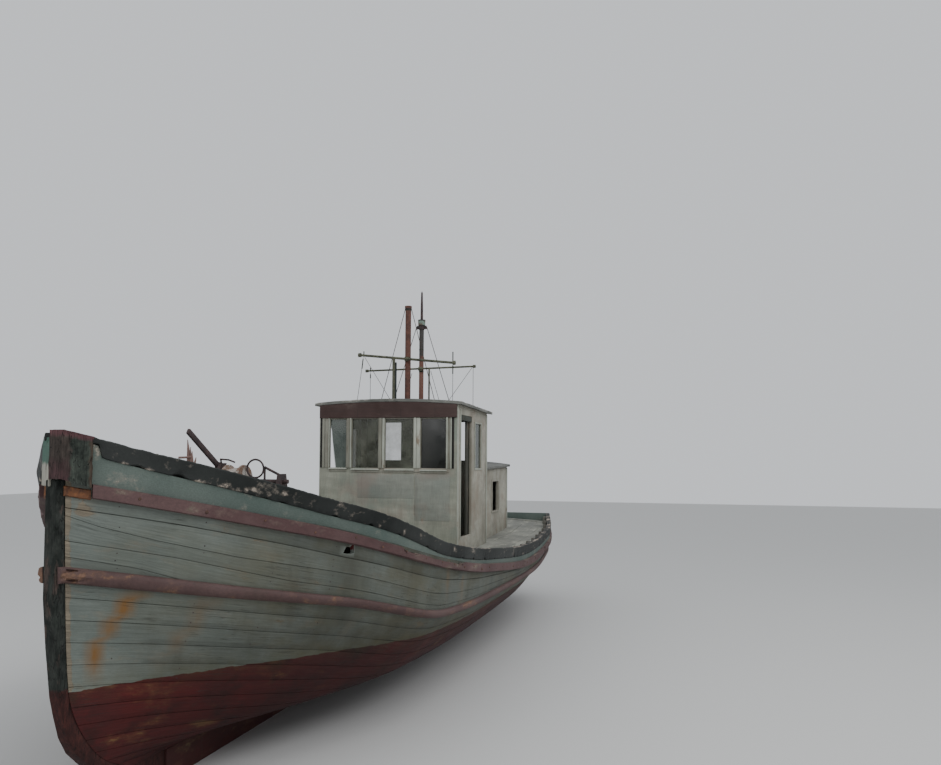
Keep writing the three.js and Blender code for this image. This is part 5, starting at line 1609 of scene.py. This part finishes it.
# The stage
CAMERA_PLACE = (9.873, 3.906, 2.443)
CAMERA_TURNS = (14.654, 2.479, 0.339)
CAMERA_LENS = 31.595
CAMERA_SHIFT = 0.04482
FLOOR_HALF = 40


def camera():
    yaw, pitch, roll = (math.radians(v) for v in CAMERA_TURNS)
    ahead = Vector((-math.cos(yaw) * math.cos(pitch), -math.sin(yaw) * math.cos(pitch), math.sin(pitch)))
    level = Vector((-math.sin(yaw), math.cos(yaw), 0))
    above = level.cross(ahead)
    right = level * math.cos(roll) + above * math.sin(roll)
    up = above * math.cos(roll) - level * math.sin(roll)
    data = bpy.data.cameras.new("Camera")
    data.sensor_width = 36
    data.lens = CAMERA_LENS
    data.shift_y = CAMERA_SHIFT
    data.clip_end = 200
    piece = placed("Camera", data)
    piece.matrix_world = Matrix.Translation(CAMERA_PLACE) @ Matrix((right, up, -ahead)).transposed().to_4x4()
    bpy.context.scene.camera = piece


def floor_and_lights():
    settings = bpy.context.scene.old_boat_stage
    half = FLOOR_HALF
    floor = new_piece("floor", [(-half, -half, 0), (half, -half, 0), (half, half, 0), (-half, half, 0)],
                      [(0, 1, 2, 3)])
    w = new_material("Pale floor")
    w.feed(w.shader.inputs["Base Color"], (0.55, 0.55, 0.54))
    w.feed(w.shader.inputs["Roughness"], 0.8)
    floor.data.materials.append(w.material)
    world = bpy.data.worlds.new("Soft light")
    bpy.context.scene.world = world
    world.use_nodes = True
    back = world.node_tree.nodes["Background"]
    back.inputs["Color"].default_value = (0.93, 0.96, 1.0, 1.0)
    back.inputs["Strength"].default_value = settings.sky
    for name, place, target, size, power in (
        ("Key", (6, 9, 11), (0, 0, 1.5), 9, settings.key),
        ("Fill", (12, -6, 7), (1, 0, 1.5), 8, settings.key * 0.35),
    ):
        lamp = bpy.data.lights.new(name, "AREA")
        lamp.energy = power
        lamp.size = size
        light = placed(name, lamp)
        light.location = place
        light.rotation_euler = (Vector(target) - Vector(place)).to_track_quat("-Z", "Y").to_euler()


# Settings, operators and the panel
COLOR = {"subtype": "COLOR", "size": 3, "min": 0.0, "max": 1.0}


class OldBoatHullSettings(bpy.types.PropertyGroup):
    planks_below: bpy.props.IntProperty(
        name="Planks below the guard", description="Planks on each side between the keel and the lower guard",
        default=12, min=4, max=24)
    seam_width: bpy.props.FloatProperty(
        name="Seam width", description="Width of the caulked seam between planks",
        default=0.006, unit="LENGTH")
    seam_depth: bpy.props.FloatProperty(
        name="Seam depth", description="Depth of the caulked seam", default=0.005, unit="LENGTH")
    deck_plank: bpy.props.FloatProperty(
        name="Deck plank", description="Width of a deck plank", default=0.115, unit="LENGTH")
    side_paint: bpy.props.FloatVectorProperty(
        name="Side paint", description="Grey-green paint on the planks",
        default=(0.118, 0.137, 0.122), **COLOR)
    side_faded: bpy.props.FloatVectorProperty(
        name="Faded side paint", description="The same paint where it has faded",
        default=(0.165, 0.187, 0.168), **COLOR)
    bottom_paint: bpy.props.FloatVectorProperty(
        name="Bottom paint", description="Red paint below the waterline",
        default=(0.085, 0.0095, 0.009), **COLOR)


class OldBoatHouseSettings(bpy.types.PropertyGroup):
    wall_paint: bpy.props.FloatVectorProperty(
        name="Wall paint", description="Grey paint on the wheelhouse plywood",
        default=(0.215, 0.225, 0.18), **COLOR)
    wall_faded: bpy.props.FloatVectorProperty(
        name="Faded wall paint", description="The same paint where it has faded",
        default=(0.28, 0.285, 0.235), **COLOR)
    wire_radius: bpy.props.FloatProperty(
        name="Wire radius", description="Radius of the thin rigging wire", default=0.0035, unit="LENGTH")


class OldBoatStageSettings(bpy.types.PropertyGroup):
    sky: bpy.props.FloatProperty(name="Sky", description="Strength of the even light", default=0.8, min=0)
    key: bpy.props.FloatProperty(
        name="Key", description="Power of the large lamp in watts", default=900, min=0)


class OBJECT_OT_old_boat_stage(bpy.types.Operator):
    """Add the floor, the lights and the camera"""

    bl_idname = "object.old_boat_stage"
    bl_label = "Stage"

    def execute(self, context):
        floor_and_lights()
        camera()
        return {"FINISHED"}


class OBJECT_OT_old_boat_finishes(bpy.types.Operator):
    """Build the paints, woods, irons and glass, and the trees that repeat small pieces"""

    bl_idname = "object.old_boat_finishes"
    bl_label = "Finishes"

    def execute(self, context):
        all_finishes()
        return {"FINISHED"}


class OBJECT_OT_old_boat_planks(bpy.types.Operator):
    """Plank both sides of the hull"""

    bl_idname = "object.old_boat_planks"
    bl_label = "Hull planks"

    def execute(self, context):
        hull_planks()
        return {"FINISHED"}


class OBJECT_OT_old_boat_bulwarks(bpy.types.Operator):
    """Add the bulwarks, rail strakes and guards"""

    bl_idname = "object.old_boat_bulwarks"
    bl_label = "Bulwarks and guards"

    def execute(self, context):
        bulwarks_and_guards()
        plank_nails()
        bulwark_frames()
        return {"FINISHED"}


class OBJECT_OT_old_boat_timbers(bpy.types.Operator):
    """Wear the stem, keel, chocks and stern timbers"""

    bl_idname = "object.old_boat_timbers"
    bl_label = "Bow and stern timbers"

    def execute(self, context):
        bow_and_stern_timbers()
        transom_planks()
        chocks()
        return {"FINISHED"}


class OBJECT_OT_old_boat_deck(bpy.types.Operator):
    """Lay the deck, the hatch and the hold lining"""

    bl_idname = "object.old_boat_deck"
    bl_label = "Deck and hatch"

    def execute(self, context):
        deck_boards()
        hatch_and_lining()
        return {"FINISHED"}


class OBJECT_OT_old_boat_gear(bpy.types.Operator):
    """Finish the winch and the broken post on the foredeck"""

    bl_idname = "object.old_boat_gear"
    bl_label = "Foredeck gear"

    def execute(self, context):
        foredeck_gear()
        return {"FINISHED"}


class OBJECT_OT_old_boat_house(bpy.types.Operator):
    """Finish the wheelhouse, its doors, windows and helm"""

    bl_idname = "object.old_boat_house"
    bl_label = "Wheelhouse"

    def execute(self, context):
        house_walls()
        front_battens()
        side_battens()
        roof_canvas()
        roof_edges()
        panes_and_helm()
        doors()
        return {"FINISHED"}


class OBJECT_OT_old_boat_cabin(bpy.types.Operator):
    """Finish the walls and the roof of the low cabin behind the wheelhouse"""

    bl_idname = "object.old_boat_cabin"
    bl_label = "Aft cabin"

    def execute(self, context):
        aft_cabin()
        return {"FINISHED"}


class OBJECT_OT_old_boat_masts(bpy.types.Operator):
    """Finish the masts and add the thin rigging"""

    bl_idname = "object.old_boat_masts"
    bl_label = "Masts and rigging"

    def execute(self, context):
        masts()
        thin_rigging()
        return {"FINISHED"}


OPERATORS = (
    OBJECT_OT_old_boat_stage,
    OBJECT_OT_old_boat_finishes,
    OBJECT_OT_old_boat_planks,
    OBJECT_OT_old_boat_bulwarks,
    OBJECT_OT_old_boat_timbers,
    OBJECT_OT_old_boat_deck,
    OBJECT_OT_old_boat_gear,
    OBJECT_OT_old_boat_house,
    OBJECT_OT_old_boat_cabin,
    OBJECT_OT_old_boat_masts,
)


class VIEW3D_PT_old_boat(bpy.types.Panel):
    """The boat's settings and pieces"""

    bl_label = "Old fishing boat"
    bl_space_type = "VIEW_3D"
    bl_region_type = "UI"
    bl_category = "Boat"

    def draw(self, context):
        layout = self.layout
        for group in SETTINGS:
            settings = getattr(context.scene, group[0])
            for name in settings.bl_rna.properties.keys():
                if name not in ("rna_type", "name"):
                    layout.prop(settings, name)
        for operator in OPERATORS:
            layout.operator(operator.bl_idname)


SETTINGS = (
    ("old_boat_hull", OldBoatHullSettings),
    ("old_boat_house", OldBoatHouseSettings),
    ("old_boat_stage", OldBoatStageSettings),
)


def register():
    for name, group in SETTINGS:
        bpy.utils.register_class(group)
        setattr(bpy.types.Scene, name, bpy.props.PointerProperty(type=group))
    for operator in OPERATORS:
        bpy.utils.register_class(operator)
    bpy.utils.register_class(VIEW3D_PT_old_boat)


def unregister():
    bpy.utils.unregister_class(VIEW3D_PT_old_boat)
    for operator in reversed(OPERATORS):
        bpy.utils.unregister_class(operator)
    for name, group in reversed(SETTINGS):
        delattr(bpy.types.Scene, name)
        bpy.utils.unregister_class(group)


def corners(bounds):
    return [[float(c) for c in corner] for corner in bounds]


def main():
    register()
    for operator in OPERATORS:
        getattr(bpy.ops.object, operator.bl_idname.split(".")[1])()


if __name__ == "__main__":
    main()
